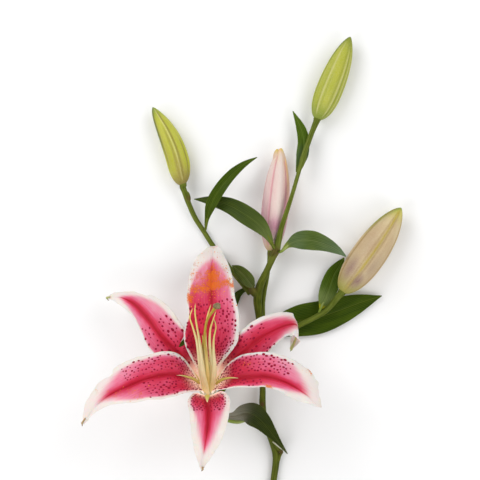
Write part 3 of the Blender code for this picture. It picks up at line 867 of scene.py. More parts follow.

# %% [markdown]
# Plain green things - nectar furrows, stigma, filaments, stems - share one way of colouring: two greens
# in streaks along the piece, a third colour towards one end, and brown where a leaf once sat. Near its
# start a rod can also get a painted glow, lit only in the filaments and the style, that lifts the shade
# deep in the throat.

# %% Finish of rods
ROD_WORDS = ("Dark", "Light", "End", "Mark")
SCAR_BROWN, DAMP_GREEN = (0.10, 0.055, 0.02), (0.2, 0.16, 0.08)
rod_group, given, result = new_group("fibre skin", ("Skin", "Tone"), ROD_WORDS, (), True)
fibre = stretched(given["Skin"], (1.1, 1.1, 0.035), 3.0, 0.6)
blotch = stretched(given["Skin"], (0.3, 0.3, 0.1))
pore = stretched(given["Skin"], (1.8, 1.8, 0.9), 1.0)
mark, end, rod_t = parts_of(given["Tone"])
colour = blend(reach(fibre * 0.75 + blotch * 0.45, 0.38, 0.82), given["Dark"], given["Light"])
colour = blend(end, colour, given["End"])
colour = blend(reach(pore, 0.66, 0.74, 0.0, 0.35), colour, given["Light"])
colour = blend(mark * reach(blotch, 0.2, 0.55, 0.6, 1.0), colour, given["Mark"])
# The glow is painted light: the rod's own colour feeds its emission near the rod's start.
give(
    result, Colour=colour, Roughness=fibre * 0.22 + 0.36, Height=fibre + pore * 0.3,
    Glow=blend(reach(rod_t, 0.1, 0.6, 0.15, 0.0), BLACK, colour),
)


def rod_finish(name, dark, light, end, mark=SCAR_BROWN, bump_mm=0.12, specular=0.5, **constants):
    shades = dict(zip(ROD_WORDS, (dark, light, end, mark)))
    return new_finish(name, rod_group, shades, bump_mm, Specular_IOR_Level=specular, **constants)


# The filaments and the style set an emission strength, so their painted glow lifts the shade deep in the
# throat.
filament_finish = rod_finish(
    "filament_cream", (0.70, 0.60, 0.30), (0.80, 0.74, 0.46), (0.66, 0.56, 0.14), (0.50, 0.20, 0.10),
    specular=0.2, Subsurface_Weight=0.15, Subsurface_Scale=0.003, Emission_Strength=1.0,
)
style_finish = rod_finish(
    "style_green", (0.62, 0.48, 0.12), (0.78, 0.66, 0.28), (0.38, 0.27, 0.03), DAMP_GREEN,
    specular=0.2, Emission_Strength=1.0,
)
stigma_finish = rod_finish(
    "stigma_grey", (0.14, 0.10, 0.035), (0.30, 0.22, 0.12), (0.26, 0.2, 0.12), DAMP_GREEN,
    bump_mm=0.25, specular=0.2,
)
print("rod finishes:", [m.name for m in (filament_finish, style_finish, stigma_finish)])

# %% [markdown]
# The pistil stands in the middle, bent towards the bud end, with a knob of three lobes. Around it are six
# filaments whose anthers have dropped off, so each ends in a fine bare point.

# %% Pistil and filaments
# Places are to the right, up and out along the flower's axis, in mm; the pistil's have a radius too.
PISTIL = (
    (0, 0, 1.7, 1.9), (0, 0, 12, 2), (0, 0.6, 22, 1.7), (0.1, 2.4, 36, 1.3), (-0.6, 6.6, 52, 1.1),
    (-1.6, 10.8, 62, 1.0), (-1.2, 16.7, 70, 0.95), (0.4, 22.8, 76, 1.0), (4.1, 27.5, 80, 1.15),
    (6.2, 29.6, 81.6, 1.6),
)
FILAMENTS = (
    (
        (-2.9, -1.7, 2), (-3.2, -0.8, 14), (-4.8, 2.4, 27), (-5.8, 6.8, 40), (-7.6, 15, 56),
        (-10.4, 22, 65), (-12.6, 28, 70.5), (-10.5, 34, 74),
    ),
    (
        (0, -3.4, 2), (-1.2, -3.2, 14), (-3, -0.8, 27), (-3.8, 5, 41), (-5.4, 13.8, 56), (-7.3, 22, 66),
        (-8.8, 30.5, 72), (-8.6, 37.5, 75),
    ),
    (
        (0, 3.4, 2), (0, 4.2, 14), (-0.3, 5.6, 28), (-0.9, 9.8, 44), (-1.2, 16, 58), (-1, 22.2, 66),
        (1, 30, 72), (3.2, 36.5, 75),
    ),
    (
        (2.9, 1.7, 2), (3.2, 2.6, 14), (3.4, 4.4, 27), (3.2, 7.8, 41), (2.2, 13.2, 54), (2.6, 20.5, 64),
        (4.8, 26, 70), (7, 31.4, 74),
    ),
    (
        (2.9, -1.7, 2), (3.9, -0.8, 14), (5.2, 1.4, 27), (5.4, 5.6, 39), (5, 10, 50), (5.2, 16.4, 58),
        (6.8, 23.4, 63), (5.6, 28.4, 66.5),
    ),
    (
        (-2.9, 1.7, 2), (-3.4, 3.4, 14), (-3.5, 6.8, 27), (-3.2, 10.2, 38), (-3.2, 13.6, 48),
        (-3, 16.4, 55), (-3.4, 18.5, 60),
    ),
)
FILAMENT_RADII, FILAMENT_TIP = (1.5, 2.0, 2.2, 1.7, 1.15, 0.8, 0.6), 0.3


def flower_local(x, y, z):
    return FLOWER_CENTRE + FLOWER_RIGHT * x + FLOWER_UP * y + FLOWER_AXIS * z


rod(
    "pistil_rod", tuple((*flower_local(x, y, z), r) for x, y, z, r in PISTIL), style_finish,
    "pistil", "pistil_green", lambda angle, t, r: -0.12 * abs(math.sin(1.5 * angle)) * r, end_tone(0.3, 0.6),
    sides=24, steps=90,
)
for number, places in enumerate(FILAMENTS, 1):
    radii = (*FILAMENT_RADII[:len(places) - 1], FILAMENT_TIP)
    path = tuple((*flower_local(*place), r) for place, r in zip(places, radii))
    rod(
        f"filament_rod_{number}", path, filament_finish, f"filament_{number}", "filament_pale",
        lambda angle, t, r: -0.1 * r * (1 + math.cos(2 * angle)) * t,
        lambda place, t: (ease(0.965, 0.99, t), 0.85 * ease(0.45, 0.8, t), t), sides=14, steps=70,
    )
print("pistil and", len(FILAMENTS), "filaments built")

# %% Stigma, a knob of three lobes
STIGMA = Vector((7.9, 31.3, 82.4))
STIGMA_RADIUS, STIGMA_HALF_HEIGHT, LOBE_CUT, LOBE_BUMPS = 3.1, 1.9, 0.24, 0.22
bm = bmesh.new()
skin, tone = fact_stores(bm, ("skin", "tone"))
bmesh.ops.create_uvsphere(bm, u_segments=48, v_segments=32, radius=1.0)
stigma_up = (FLOWER_UP * 0.35 + FLOWER_AXIS).normalized()
stigma_front = stigma_up.cross(FLOWER_RIGHT)
for vert in bm.verts:
    x, y, z = vert.co
    out = math.hypot(x, y)
    cut = abs(math.cos(1.5 * math.atan2(y, x))) ** 6 * ease(0.1, 0.8, out)
    r = STIGMA_RADIUS * (1 - LOBE_CUT * cut) + LOBE_BUMPS * noise.noise(vert.co * 6)
    rise = z * STIGMA_HALF_HEIGHT - 0.5 * bell(out, 0.35) * (z > 0)
    vert[skin] = vert.co * 3
    vert[tone] = Vector((0.5 * bell(out, 0.4), 0.0, 0.5))
    place = flower_local(*STIGMA) + FLOWER_RIGHT * x * r + stigma_front * y * r + stigma_up * rise
    vert.co = (place + SHIFT) * MM
bmesh.ops.recalc_face_normals(bm, faces=bm.faces[:])
made = keep("stigma_knob", bm, [stigma_finish], None, "pistil_green")
print("stigma:", len(made.data.polygons), "faces")

# %% [markdown]
# At the base of each tepal a yellow-green nectar furrow runs along the midrib with swollen lips, and each
# tepal ends in a small hooked point that browns first as the flower ages.

# %% Nectar furrows
nectar_finish = rod_finish(
    "nectar_green", (0.50, 0.46, 0.06), (0.80, 0.70, 0.26), (0.85, 0.74, 0.42), specular=0.2,
)
FURROW_RADII = (0.9, 1.2, 1.3, 1.25, 1.1, 0.9, 0.7, 0.45, 0.12)
# Each furrow: from t to t, how far to one side it starts, mm above the tepal, and how stout it is.
FURROWS = {
    "tepal_inner_top": (0.08, 0.3, 0, 0.9, 1), "tepal_inner_left": (0.12, 0.36, 0.55, 0.9, 1),
    "tepal_inner_right": (0.12, 0.37, -0.45, 0.9, 1), "tepal_outer_bottom": (0.12, 0.35, 0, 0.5, 1.9),
    "tepal_outer_left": (0.08, 0.27, 0, 0.9, 1), "tepal_outer_right": (0.08, 0.27, 0, 0.9, 1),
}
for name, (start, stop, side, above, stout) in FURROWS.items():
    path = []
    for i, r in enumerate(FURROW_RADII):
        f = i / (len(FURROW_RADII) - 1)
        t = start + (stop - start) * f
        place = tepal_place(name, side * (1 - f), t)[0] + tepal_row(name, t).inward * above
        path.append((*place, r * stout))
    rod(
        name + "_nectary", tuple(path), nectar_finish, None, tepal_slot(name),
        lambda angle, t, r: -0.3 * r * bell(math.sin(angle) - 1, 0.3), end_tone(0.75, 1), sides=16, steps=60,
    )
print("nectar furrows:", len(FURROWS))

# %% Hooked tips
hook_brown = rod_finish("hook_brown", (0.30, 0.16, 0.05), (0.55, 0.42, 0.22), (0.12, 0.05, 0.015))
hook_green = rod_finish("hook_green", (0.22, 0.26, 0.04), (0.50, 0.50, 0.2), (0.14, 0.16, 0.03))
HOOK_FROM, HOOK_BEND = 0.965, 0.996
HOOKS = {
    "tepal_inner_left": (hook_brown, (0, -2.6, 0)), "tepal_outer_bottom": (hook_brown, (-0.8, -1.4, 0)),
    "tepal_outer_left": (hook_green, (1.6, -2.4, 0)), "tepal_outer_right": (hook_green, (-1.2, -1.6, 0)),
}
for name, (finish, drop) in HOOKS.items():
    start, tip = tepal_row(name, HOOK_FROM).centre, tepal_row(name, HOOK_BEND).centre
    end = tip + Vector(drop)
    path = ((*start, 0.5), (*tip, 0.75), (*((tip + end) / 2), 0.5), (*end, 0.25))
    rod(name + "_hook", path, finish, None, tepal_slot(name), None, end_tone(0.4, 1), sides=12, steps=20)
print("hooks:", len(HOOKS))

# %% [markdown]
# ## Buds
# A closed bud is a long drop whose outer tepals still touch: each has a raised rib down its back, and
# neighbours meet in a seam. The ribs and seams are given as degrees round from the top of the bud, and
# they raise or cut the surface as well as colouring it.

# %% Bud shapes
# A rib or seam is (degrees, mm high or deep, half width in mm, from t, to t); a blush is (degrees, t, half
# width in mm, length in t, share); the edge is (degrees, half width in mm, from t, share).
BUDS = {
    "bud_top_green": {
        "base": (56, 137.2, 10.6), "tip": (82.6, 203.4, 10), "radius": 10.4, "widest": 0.36, "bow": 0.2,
        "ribs": (
            (-24, 0.35, 0.8, 0, 0.92), (34, 0.35, 0.8, 0, 0.86), (62, 0.25, 0.7, 0, 0.8),
            (98, 0.4, 1, 0, 0.9), (218, 0.4, 1, 0, 0.9),
        ),
        "seams": (
            (-34, 0.2, 0.8, 0, 0.7), (-13, 0.2, 0.8, 0, 0.6), (24, 0.25, 1.2, 0.2, 1), (46, 0.4, 0.8, 0, 1),
            (78, 0.6, 0.9, 0, 1), (158, 0.6, 0.9, 0, 1), (-75, 0.6, 0.9, 0, 1),
        ),
        "edge": (-80, 1.3, 0.6, 1), "blush": ((12, 0.62, 4, 0.2, 0.3),),
    },
    "bud_left_green": {
        "base": (-50, 85.6, 9), "tip": (-74.4, 147.6, 8.6), "radius": 9.1, "widest": 0.3, "bow": 3.8,
        "ribs": ((4, 0.5, 0.55, 0, 1.1), (126, 0.4, 1, 0, 1.1), (246, 0.4, 1, 0, 1.1)),
        "seams": (
            (-8, 0.35, 1.2, 0, 0.75), (15, 0.5, 0.9, 0, 1), (58, 0.5, 0.8, 0, 0.6),
            (-66, 0.7, 1.3, 0.25, 1.1), (186, 0.6, 0.9, 0, 1),
        ),
        "edge": (-84, 1.6, 0.3, 1.2), "blush": ((0, 0.2, 5, 0.16, 0.55), (-40, 0.35, 3, 0.3, 0.35)),
    },
    "bud_pink": {
        "base": (19.4, 32.3, 11), "tip": (27.2, 115, 11.2), "radius": 10.8, "widest": 0.42, "bow": 0.2,
        "ribs": (
            (10, 0.5, 3.0, 0, 1.1), (-58, 0.3, 2, 0, 1.1), (76, 0.35, 1.4, 0, 1.1), (200, 0.4, 1.2, 0, 1.1),
        ),
        "seams": (
            (-27, 0.75, 0.9, 0, 1), (46, 0.8, 1.0, 0, 1), (-100, 0.6, 0.9, 0, 1), (140, 0.6, 0.9, 0, 1),
        ),
        "edge": (80, 3.5, 0.2, 1.2),
        "blush": (
            (-66, 0.3, 4.5, 0.3, 0.85), (58, 0.32, 5, 0.34, 0.9), (8, 0.25, 8, 0.1, 1.0),
            (-34, 0.25, 3, 0.3, 0.6),
        ),
    },
    "bud_right_cream": {
        "base": (75.4, 0.6, 13.6), "tip": (122.6, 67.6, 13), "radius": 13.6, "widest": 0.42, "bow": 0.8,
        "ribs": ((2, 0.7, 1.2, 0, 1.1), (120, 0.5, 1.3, 0, 1.1), (240, 0.5, 1.3, 0, 1.1)),
        "seams": (
            (-8, 0.3, 0.8, 0, 1), (12, 0.3, 0.8, 0, 1), (-72, 0.6, 1.5, 0, 1.1), (74, 0.6, 1.5, 0, 1.1),
            (182, 0.7, 1.2, 0, 1),
        ),
        "edge": (-90, 3.0, 0.5, 1.2),
        "blush": (
            (20, 0.17, 4.5, 0.09, 1.0), (-32, 0.24, 6, 0.14, 0.85), (-22, 0.5, 7, 0.22, 0.3),
            (32, 0.36, 5, 0.15, 0.5),
        ),
    },
}
print("buds:", len(BUDS))


def bud_radius(t, widest):
    """The radius at t as a share of the largest."""
    if t < widest:
        return (1 - ((widest - t) / widest) ** 2.2) ** 0.5
    x = (t - widest) / (1 - widest)
    return (1 - x ** 2.2) ** 0.7


def apart(angle, degrees):
    """How far an angle is from so many degrees to the right of the top, in radians."""
    return (angle - math.pi / 2 + math.radians(degrees) + math.pi) % math.tau - math.pi


# %% Finish of buds
BUD_WORDS = ("Body", "Warm", "Rib", "Seam", "Base", "Tip", "Blush", "Edge")
bud_group, given, result = new_group("bud skin", ("Skin", "Tone", "Dust"), BUD_WORDS)
line = stretched(given["Skin"], (0.9, 0.9, 0.04), 3.0, 0.6)
patch = stretched(given["Skin"], (0.12, 0.12, 0.05))
fine = stretched(given["Skin"], (2.2, 2.2, 1.6))
rib, seam, bud_t = parts_of(given["Tone"])
blush, edge, _ = parts_of(given["Dust"])
colour = blend(reach(patch * 0.7 + line * 0.35, 0.35, 0.75), given["Body"], given["Warm"])
for share, word in (
    (reach(bud_t, 0.8, 1.0), "Tip"),
    (reach(bud_t, 0.02, 0.24, 1.0, 0.0), "Base"),
    (edge, "Edge"),
    (seam * reach(line, 0.2, 0.6, 0.65, 1.0), "Seam"),
    (rib * reach(line, 0.2, 0.6, 0.55, 0.95), "Rib"),
    (blush * reach(line, 0.15, 0.6, 0.6, 1.0), "Blush"),
):
    colour = blend(share, colour, given[word])
colour = blend(reach(fine, 0.35, 0.75, 0.0, 0.12), colour, (0.95, 0.95, 0.8))
give(result, Colour=colour, Roughness=fine * 0.2 + 0.36, Height=line + fine * 0.35)
# In the order of BUD_WORDS.
BUD_COLOURS = {
    "bud_top_green": (
        (0.34, 0.37, 0.018), (0.43, 0.43, 0.06), (0.5, 0.49, 0.17), (0.2, 0.24, 0.015), (0.22, 0.28, 0.02),
        (0.2, 0.24, 0.01), (0.46, 0.42, 0.02), (0.11, 0.17, 0.008),
    ),
    "bud_left_green": (
        (0.42, 0.44, 0.012), (0.5, 0.49, 0.06), (0.6, 0.56, 0.2), (0.24, 0.2, 0.018), (0.24, 0.19, 0.025),
        (0.24, 0.31, 0.012), (0.28, 0.21, 0.035), (0.09, 0.15, 0.006),
    ),
    "bud_pink": (
        (0.66, 0.44, 0.42), (0.7, 0.56, 0.51), (0.7, 0.58, 0.53), (0.64, 0.28, 0.31), (0.58, 0.47, 0.15),
        (0.74, 0.56, 0.28), (0.5, 0.2, 0.29), (0.74, 0.44, 0.16),
    ),
    "bud_right_cream": (
        (0.51, 0.36, 0.2), (0.6, 0.48, 0.27), (0.42, 0.31, 0.02), (0.32, 0.2, 0.05), (0.36, 0.34, 0.05),
        (0.54, 0.5, 0.07), (0.25, 0.14, 0.12), (0.2, 0.26, 0.01),
    ),
}
bud_finishes = {
    name: new_finish(
        name + "_skin", bud_group, dict(zip(BUD_WORDS, shades)), bump_mm=0.12, Specular_IOR_Level=0.12,
    )
    for name, shades in BUD_COLOURS.items()
}
print("bud finishes:", len(bud_finishes))

# %% Build the buds
BUD_SLOTS = {"bud_pink": "bud_pink", "bud_right_cream": "bud_cream"}


def line_share(bud, line, angle, t, plain):
    """How much of a rib or seam there is at a place on a bud, from 0 to 1."""
    degrees, _, wide, start, stop = line
    near = bell(apart(angle, degrees) * plain, wide * (0.4 + 0.6 * plain / bud["radius"]))
    return near * ease(start - 0.12, start + 0.08, t) * (1 - ease(stop - 0.15, stop + 0.05, t))


def bud_corner(bud, angle, t):
    """The radius without ribs and with them, and the facts to store."""
    plain = bud["radius"] * bud_radius(t, bud["widest"]) * (1 - 0.04 * math.sin(3 * angle))
    ends = ease(0.0, 0.12, t) * (1 - ease(0.93, 1.0, t))
    r, rib, seam, blush = plain, 0.0, 0.0, 0.0
    for line in bud["ribs"]:
        near = line_share(bud, line, angle, t, plain)
        rib = max(rib, near)
        r += line[1] * near * ends
    for line in bud["seams"]:
        near = line_share(bud, line, angle, t, plain)
        seam = max(seam, near * min(1.0, line[1] / 0.5))
        r -= line[1] * near * ends
    for degrees, at, wide, long, amount in bud["blush"]:
        blush = max(blush, amount * bell(apart(angle, degrees) * plain, wide) * bell(t - at, long))
    degrees, wide, start, amount = bud["edge"]
    edge = amount * ease(start, start + 0.35, t) * bell(apart(angle, degrees) * plain, wide * 1.6)
    return plain, r, (rib * ends, seam * ends, t), (blush, min(1.0, edge), 0.0)


def build_bud(name):
    bud = BUDS[name]
    base = Vector(bud["base"])
    ahead = Vector(bud["tip"]) - base
    across = ahead.cross(Vector((0.0, 0.0, 1.0))).normalized()
    top = across.cross(ahead).normalized()
    bm = bmesh.new()
    skin, tone, dust = fact_stores(bm)
    bmesh.ops.create_uvsphere(bm, u_segments=144, v_segments=120, radius=1.0)
    for vert in bm.verts:
        t = math.acos(min(max(-vert.co.z, -1), 1)) / math.pi
        angle = math.atan2(vert.co.y, vert.co.x)
        plain, r, tone_fact, dust_fact = bud_corner(bud, angle, t)
        vert[skin] = Vector((math.cos(angle) * plain, math.sin(angle) * plain, t * ahead.length))
        vert[tone], vert[dust] = Vector(tone_fact), Vector(dust_fact)
        bow = across * (math.cos(angle) * r + bud["bow"] * math.sin(math.pi * t))
        vert.co = base + ahead * t + bow + top * (math.sin(angle) * r)
    lowest = Vector((0.0, 0.0, min(vert.co.z for vert in bm.verts)))
    for vert in bm.verts:
        vert.co = (vert.co - lowest + SHIFT) * MM
    bmesh.ops.recalc_face_normals(bm, faces=bm.faces[:])
    return keep(name + "_closed", bm, [bud_finishes[name]], name, BUD_SLOTS.get(name, "bud_green"))


for name in BUDS:
    print(name, len(build_bud(name).data.polygons), "faces")

# %% [markdown]
# ## Stem and stalks
# The stem is a rod with faint ridges, swollen where a leaf or stalk leaves it, and brown at the old
# joints. Each stalk is its own rod that starts inside the stem's skin.

# %% Stem and stalks
# Each place on a path is x, y, z and the radius there, in mm.
STALKS = {
    "main_stem": (
        (15, -205, 2.5, 2.5), (18.6, -178, 2.5, 2.5), (21.8, -150, 2.5, 2.5), (23.8, -131, 3.2, 2.9),
        (20, -117, 4, 2.6), (15, -105, 5, 2.5), (13, -90, 6, 2.6), (13, -75, 7, 2.4), (12, -55, 8, 2.4),
        (11, -38, 8.6, 2.6), (10.4, -20, 9.4, 2.9), (9, -5, 10, 3.5), (11, 6, 11.5, 3.2),
        (15.5, 16, 13.5, 2.6), (20, 26, 16, 2.5), (23.4, 33.5, 18, 3.1),
    ),
    "top_bud_stalk": (
        (23.8, 34.4, 18.2, 2.9), (27.4, 51, 22.4, 2.1), (32.2, 66, 23.6, 1.8), (37, 81, 21.6, 1.6),
        (40.8, 94, 18.5, 1.6), (45, 108, 15, 1.9), (49, 119, 12.9, 2), (52.5, 128.5, 11.6, 2.1),
        (55.6, 136, 10.8, 2.6),
    ),
    "left_bud_stalk": (
        (3.6, 0.3, 8.8, 3.1), (-2, 6, 6.2, 2.2), (-8, 13, 4, 1.9), (-15, 22, 2.6, 1.9), (-27, 38, 2, 1.9),
        (-34, 49, 2.4, 1.9), (-41, 60, 4.5, 2), (-46.6, 73, 7, 2.1), (-49.3, 81, 8.4, 2.3),
        (-50.4, 84, 8.8, 2.5),
    ),
    "pink_bud_stalk": (
        (14.2, -31, 5.2, 1.7), (13.4, -20, 4.4, 1.7), (13.4, -8, 4.2, 1.7), (14.7, 2, 4.6, 1.7),
        (16.2, 10, 6, 1.7), (17.2, 17, 8, 1.7), (18.4, 25, 9.8, 1.8), (18.9, 31.4, 10.8, 2.3),
    ),
    "right_bud_stalk": (
        (16.2, -41.5, 7.6, 2), (24, -36.5, 7.2, 2), (33, -31, 7.4, 2), (42, -26, 8, 2),
        (52.5, -20.5, 9, 2.1), (62.5, -14.5, 10.6, 2.2), (69, -7.5, 12, 2.4), (74, -1.2, 13.4, 2.8),
    ),
    "open_flower_stalk": (
        (7.3, -48.8, 8, 2), (1, -56, 7.2, 2), (-7, -64, 6.5, 2.1), (-16, -73.5, 6.2, 2.2),
        (-23.5, -83, 7.6, 2.3), (-28.4, -86.5, 13, 2.5), (-30, -80.4, 17.6, 3), (-30, -77.4, 22.7, 5),
        (-30, -75, 26.87, 6.8),
    ),
}
# Where each old joint is, and how far its brown reaches.
OLD_JOINTS = (
    ((12.8, -88.4, 8.4), 1.9), ((22.6, 33.6, 19), 3.6), ((4.6, 2.6, 13), 3.4), ((-45.4, 75.6, 8), 2.4),
    ((27.6, -126.2, 4.6), 2.2), ((18.9, 31, 12), 1.6),
)
BUD_ON = {
    "top_bud_stalk": "bud_top_green", "left_bud_stalk": "bud_left_green",
    "pink_bud_stalk": "bud_pink", "right_bud_stalk": "bud_right_cream",
}
stem_finish = rod_finish(
    "stem_green", (0.040, 0.056, 0.001), (0.120, 0.142, 0.014), (0.13, 0.15, 0.02), specular=0.1,
)
stalk_finish = rod_finish(
    "stalk_green", (0.060, 0.085, 0.003), (0.145, 0.175, 0.025), (0.16, 0.20, 0.02), specular=0.1,
)
receptacle_finish = rod_finish(
    "receptacle_pale", (0.075, 0.105, 0.004), (0.175, 0.215, 0.035), (0.84, 0.72, 0.56), specular=0.1,
)


def stem_relief(angle, t, radius):
    lumps = noise.noise(Vector((math.cos(angle) * 1.2, math.sin(angle) * 1.2, t * 30)))
    return 0.05 * math.cos(9 * angle + 4 * t) + 0.09 * lumps


def joint_tone(place, t):
    mark = max(bell((place - Vector(at)).length, size) for at, size in OLD_JOINTS)
    return 1.3 * mark, ease(0.84, 0.96, t) * 0.8, t


def into_bud(path, bud):
    """Runs a stalk on into its bud, so that no gap shows."""
    start = Vector(bud["base"])
    ahead = (Vector(bud["tip"]) - start).normalized()
    radius = path[-1][3]
    return (*path, (*(start + ahead * 0.6), radius * 1.15), (*(start + ahead * 3.4), radius * 0.9))


for name, path in STALKS.items():
    finish = {"main_stem": stem_finish, "open_flower_stalk": receptacle_finish}.get(name, stalk_finish)
    if name in BUD_ON:
        path = into_bud(path, BUDS[BUD_ON[name]])
    steps = 220 if name == "main_stem" else 120
    made = rod(
        name + "_rod", path, finish, name, "stem_green", stem_relief, joint_tone, sides=28, steps=steps,
    )
    print(name, len(made.data.polygons), "faces")

# %% [markdown]
# Where leaves have been pulled away they leave stubs and scars. Each one is a short tapered rod that
# grows out of its stem, which gives the lumpy joints that a cut lily has.

# %% Stubs, scars and sheaths
pale_line_finish = rod_finish(
    "pale_line", (0.42, 0.42, 0.28), (0.66, 0.64, 0.52), (0.5, 0.5, 0.36), specular=0.2,
)
STUBS = {
    "leaf_scar_low": (
        ((21.6, -117, 5, 2.0), (25, -122.4, 5, 2.4), (27.6, -126, 4.4, 1.7), (29, -127.6, 4, 0.7)),
        stem_finish,
    ),
    "leaf_scar_low_lip": (
        ((25.2, -134, 4, 1.6), (26.6, -129.6, 4.4, 1.5), (28.6, -127, 4.4, 0.9), (28.9, -126.6, 4.4, 0.5)),
        stem_finish,
    ),
    "joint_knob": (
        ((7.4, -1.6, 11.6, 2.4), (5.6, 1, 13, 3.1), (4.4, 3.4, 13.4, 2.7), (4, 4.6, 13.2, 1.2)),
        stem_finish,
    ),
    "top_joint_knob": (
        ((20.4, 29.6, 17, 2.0), (21.6, 32.4, 19.6, 2.2), (23, 34, 20.6, 1.8), (24, 36, 20.8, 0.8)),
        stem_finish,
    ),
    "stalk_sheath": (
        (
            (42.2, 96.5, 18.4, 0.6), (44.4, 101.6, 17, 1.3), (46.2, 107.4, 15.2, 1.3),
            (47.8, 113.6, 13.8, 0.6),
        ),
        stalk_finish,
    ),
    "stalk_scar": (
        ((-46.8, 70.6, 7.4, 0.9), (-45.6, 74.4, 8.2, 1.5), (-46.4, 78.4, 8.8, 1.4), (-48, 81, 9, 0.7)),
        stalk_finish,
    ),
    # A thin pale line laid along the edge of the low leaf scar.
    "leaf_scar_low_edge": (
        ((20.8, -118.4, 7.2, 0.4), (24, -120.4, 7.7, 0.9), (27, -123, 7.2, 0.8), (29.2, -125.4, 6, 0.3)),
        pale_line_finish,
    ),
}
for name, (path, finish) in STUBS.items():
    rod(name, path, finish, None, "stem_green", stem_relief, joint_tone)
print("stubs:", len(STUBS))

# %% Leaf stalks and the rolled base of the folded leaf
roll_finish = rod_finish(
    "roll_green", (0.10, 0.16, 0.006), (0.26, 0.34, 0.06), (0.34, 0.38, 0.14), specular=0.15,
)
PETIOLES = {
    "petiole_upper_right": (
        ((24.6, 32.4, 17.6, 1.2), (27, 32.8, 18.4, 1.1), (30, 35, 19.6, 1.0), (33, 38, 20.6, 0.7)),
        roll_finish,
    ),
    "petiole_left_stalk": (
        ((-33.4, 48.4, 3.4, 1.0), (-32.6, 50.6, 5.6, 0.9), (-31.6, 55, 9.4, 0.8), (-31, 59.5, 13, 0.5)),
        stalk_finish,
    ),
    "petiole_over_pink_bud": (
        ((22.6, 34.6, 19.6, 1.4), (21, 37.2, 21.6, 1.3), (18.8, 41.4, 23.2, 1.0), (16.6, 45.6, 24.5, 0.6)),
        stalk_finish,
    ),
    "petiole_right_stalk": (
        ((57.8, -15.4, 9.8, 0.9), (58.8, -12.8, 9.9, 1.0), (60, -10, 9.2, 0.8), (61.4, -7.4, 8.2, 0.4)),
        roll_finish,
    ),
    "leaf_folded_roll": (
        (
            (-17.8, -99.4, 12, 1.9), (-12.4, -100.4, 13.8, 2.3), (-6.6, -101, 17, 2.0),
            (-1.4, -100.6, 20.4, 0.7),
        ),
        roll_finish,
    ),
}
for name, (path, finish) in PETIOLES.items():
    rod(name, path, finish, None, "leaf_green", stem_relief, end_tone(0.3, 0.9, 0.6), sides=18)
print("leaf stalks:", len(PETIOLES))

# %% [markdown]
# The pink bud is close to opening: its outer tepals have begun to part at the tip, so the tip is two
# blunt lips side by side. They are short tapered rods laid into the bud.

# %% Lips of the pink bud
lip_finish = rod_finish(
    "lip_cream", (0.62, 0.42, 0.34), (0.70, 0.54, 0.44), (0.62, 0.48, 0.12), specular=0.12,
)
LIPS = {
    "bud_pink_lip_left": (
        (24.4, 96, 11.4, 3.4), (24.1, 103, 11.4, 3.3), (23.9, 109.2, 11.4, 2.6), (24.2, 112.4, 11.4, 1.6),
        (24.7, 114.1, 11.4, 0.5),
    ),
    "bud_pink_lip_right": (
        (28.2, 96, 11.4, 3.4), (28.2, 103, 11.4, 3.2), (28.1, 109.4, 11.4, 2.3), (28, 112.8, 11.4, 1.3),
        (27.9, 114.6, 11.4, 0.4),
    ),
}
for name, path in LIPS.items():
    rod(name, path, lip_finish, None, "bud_pink", None, end_tone(0.35, 0.95), sides=24, steps=60)
print("lips of the pink bud:", len(LIPS))
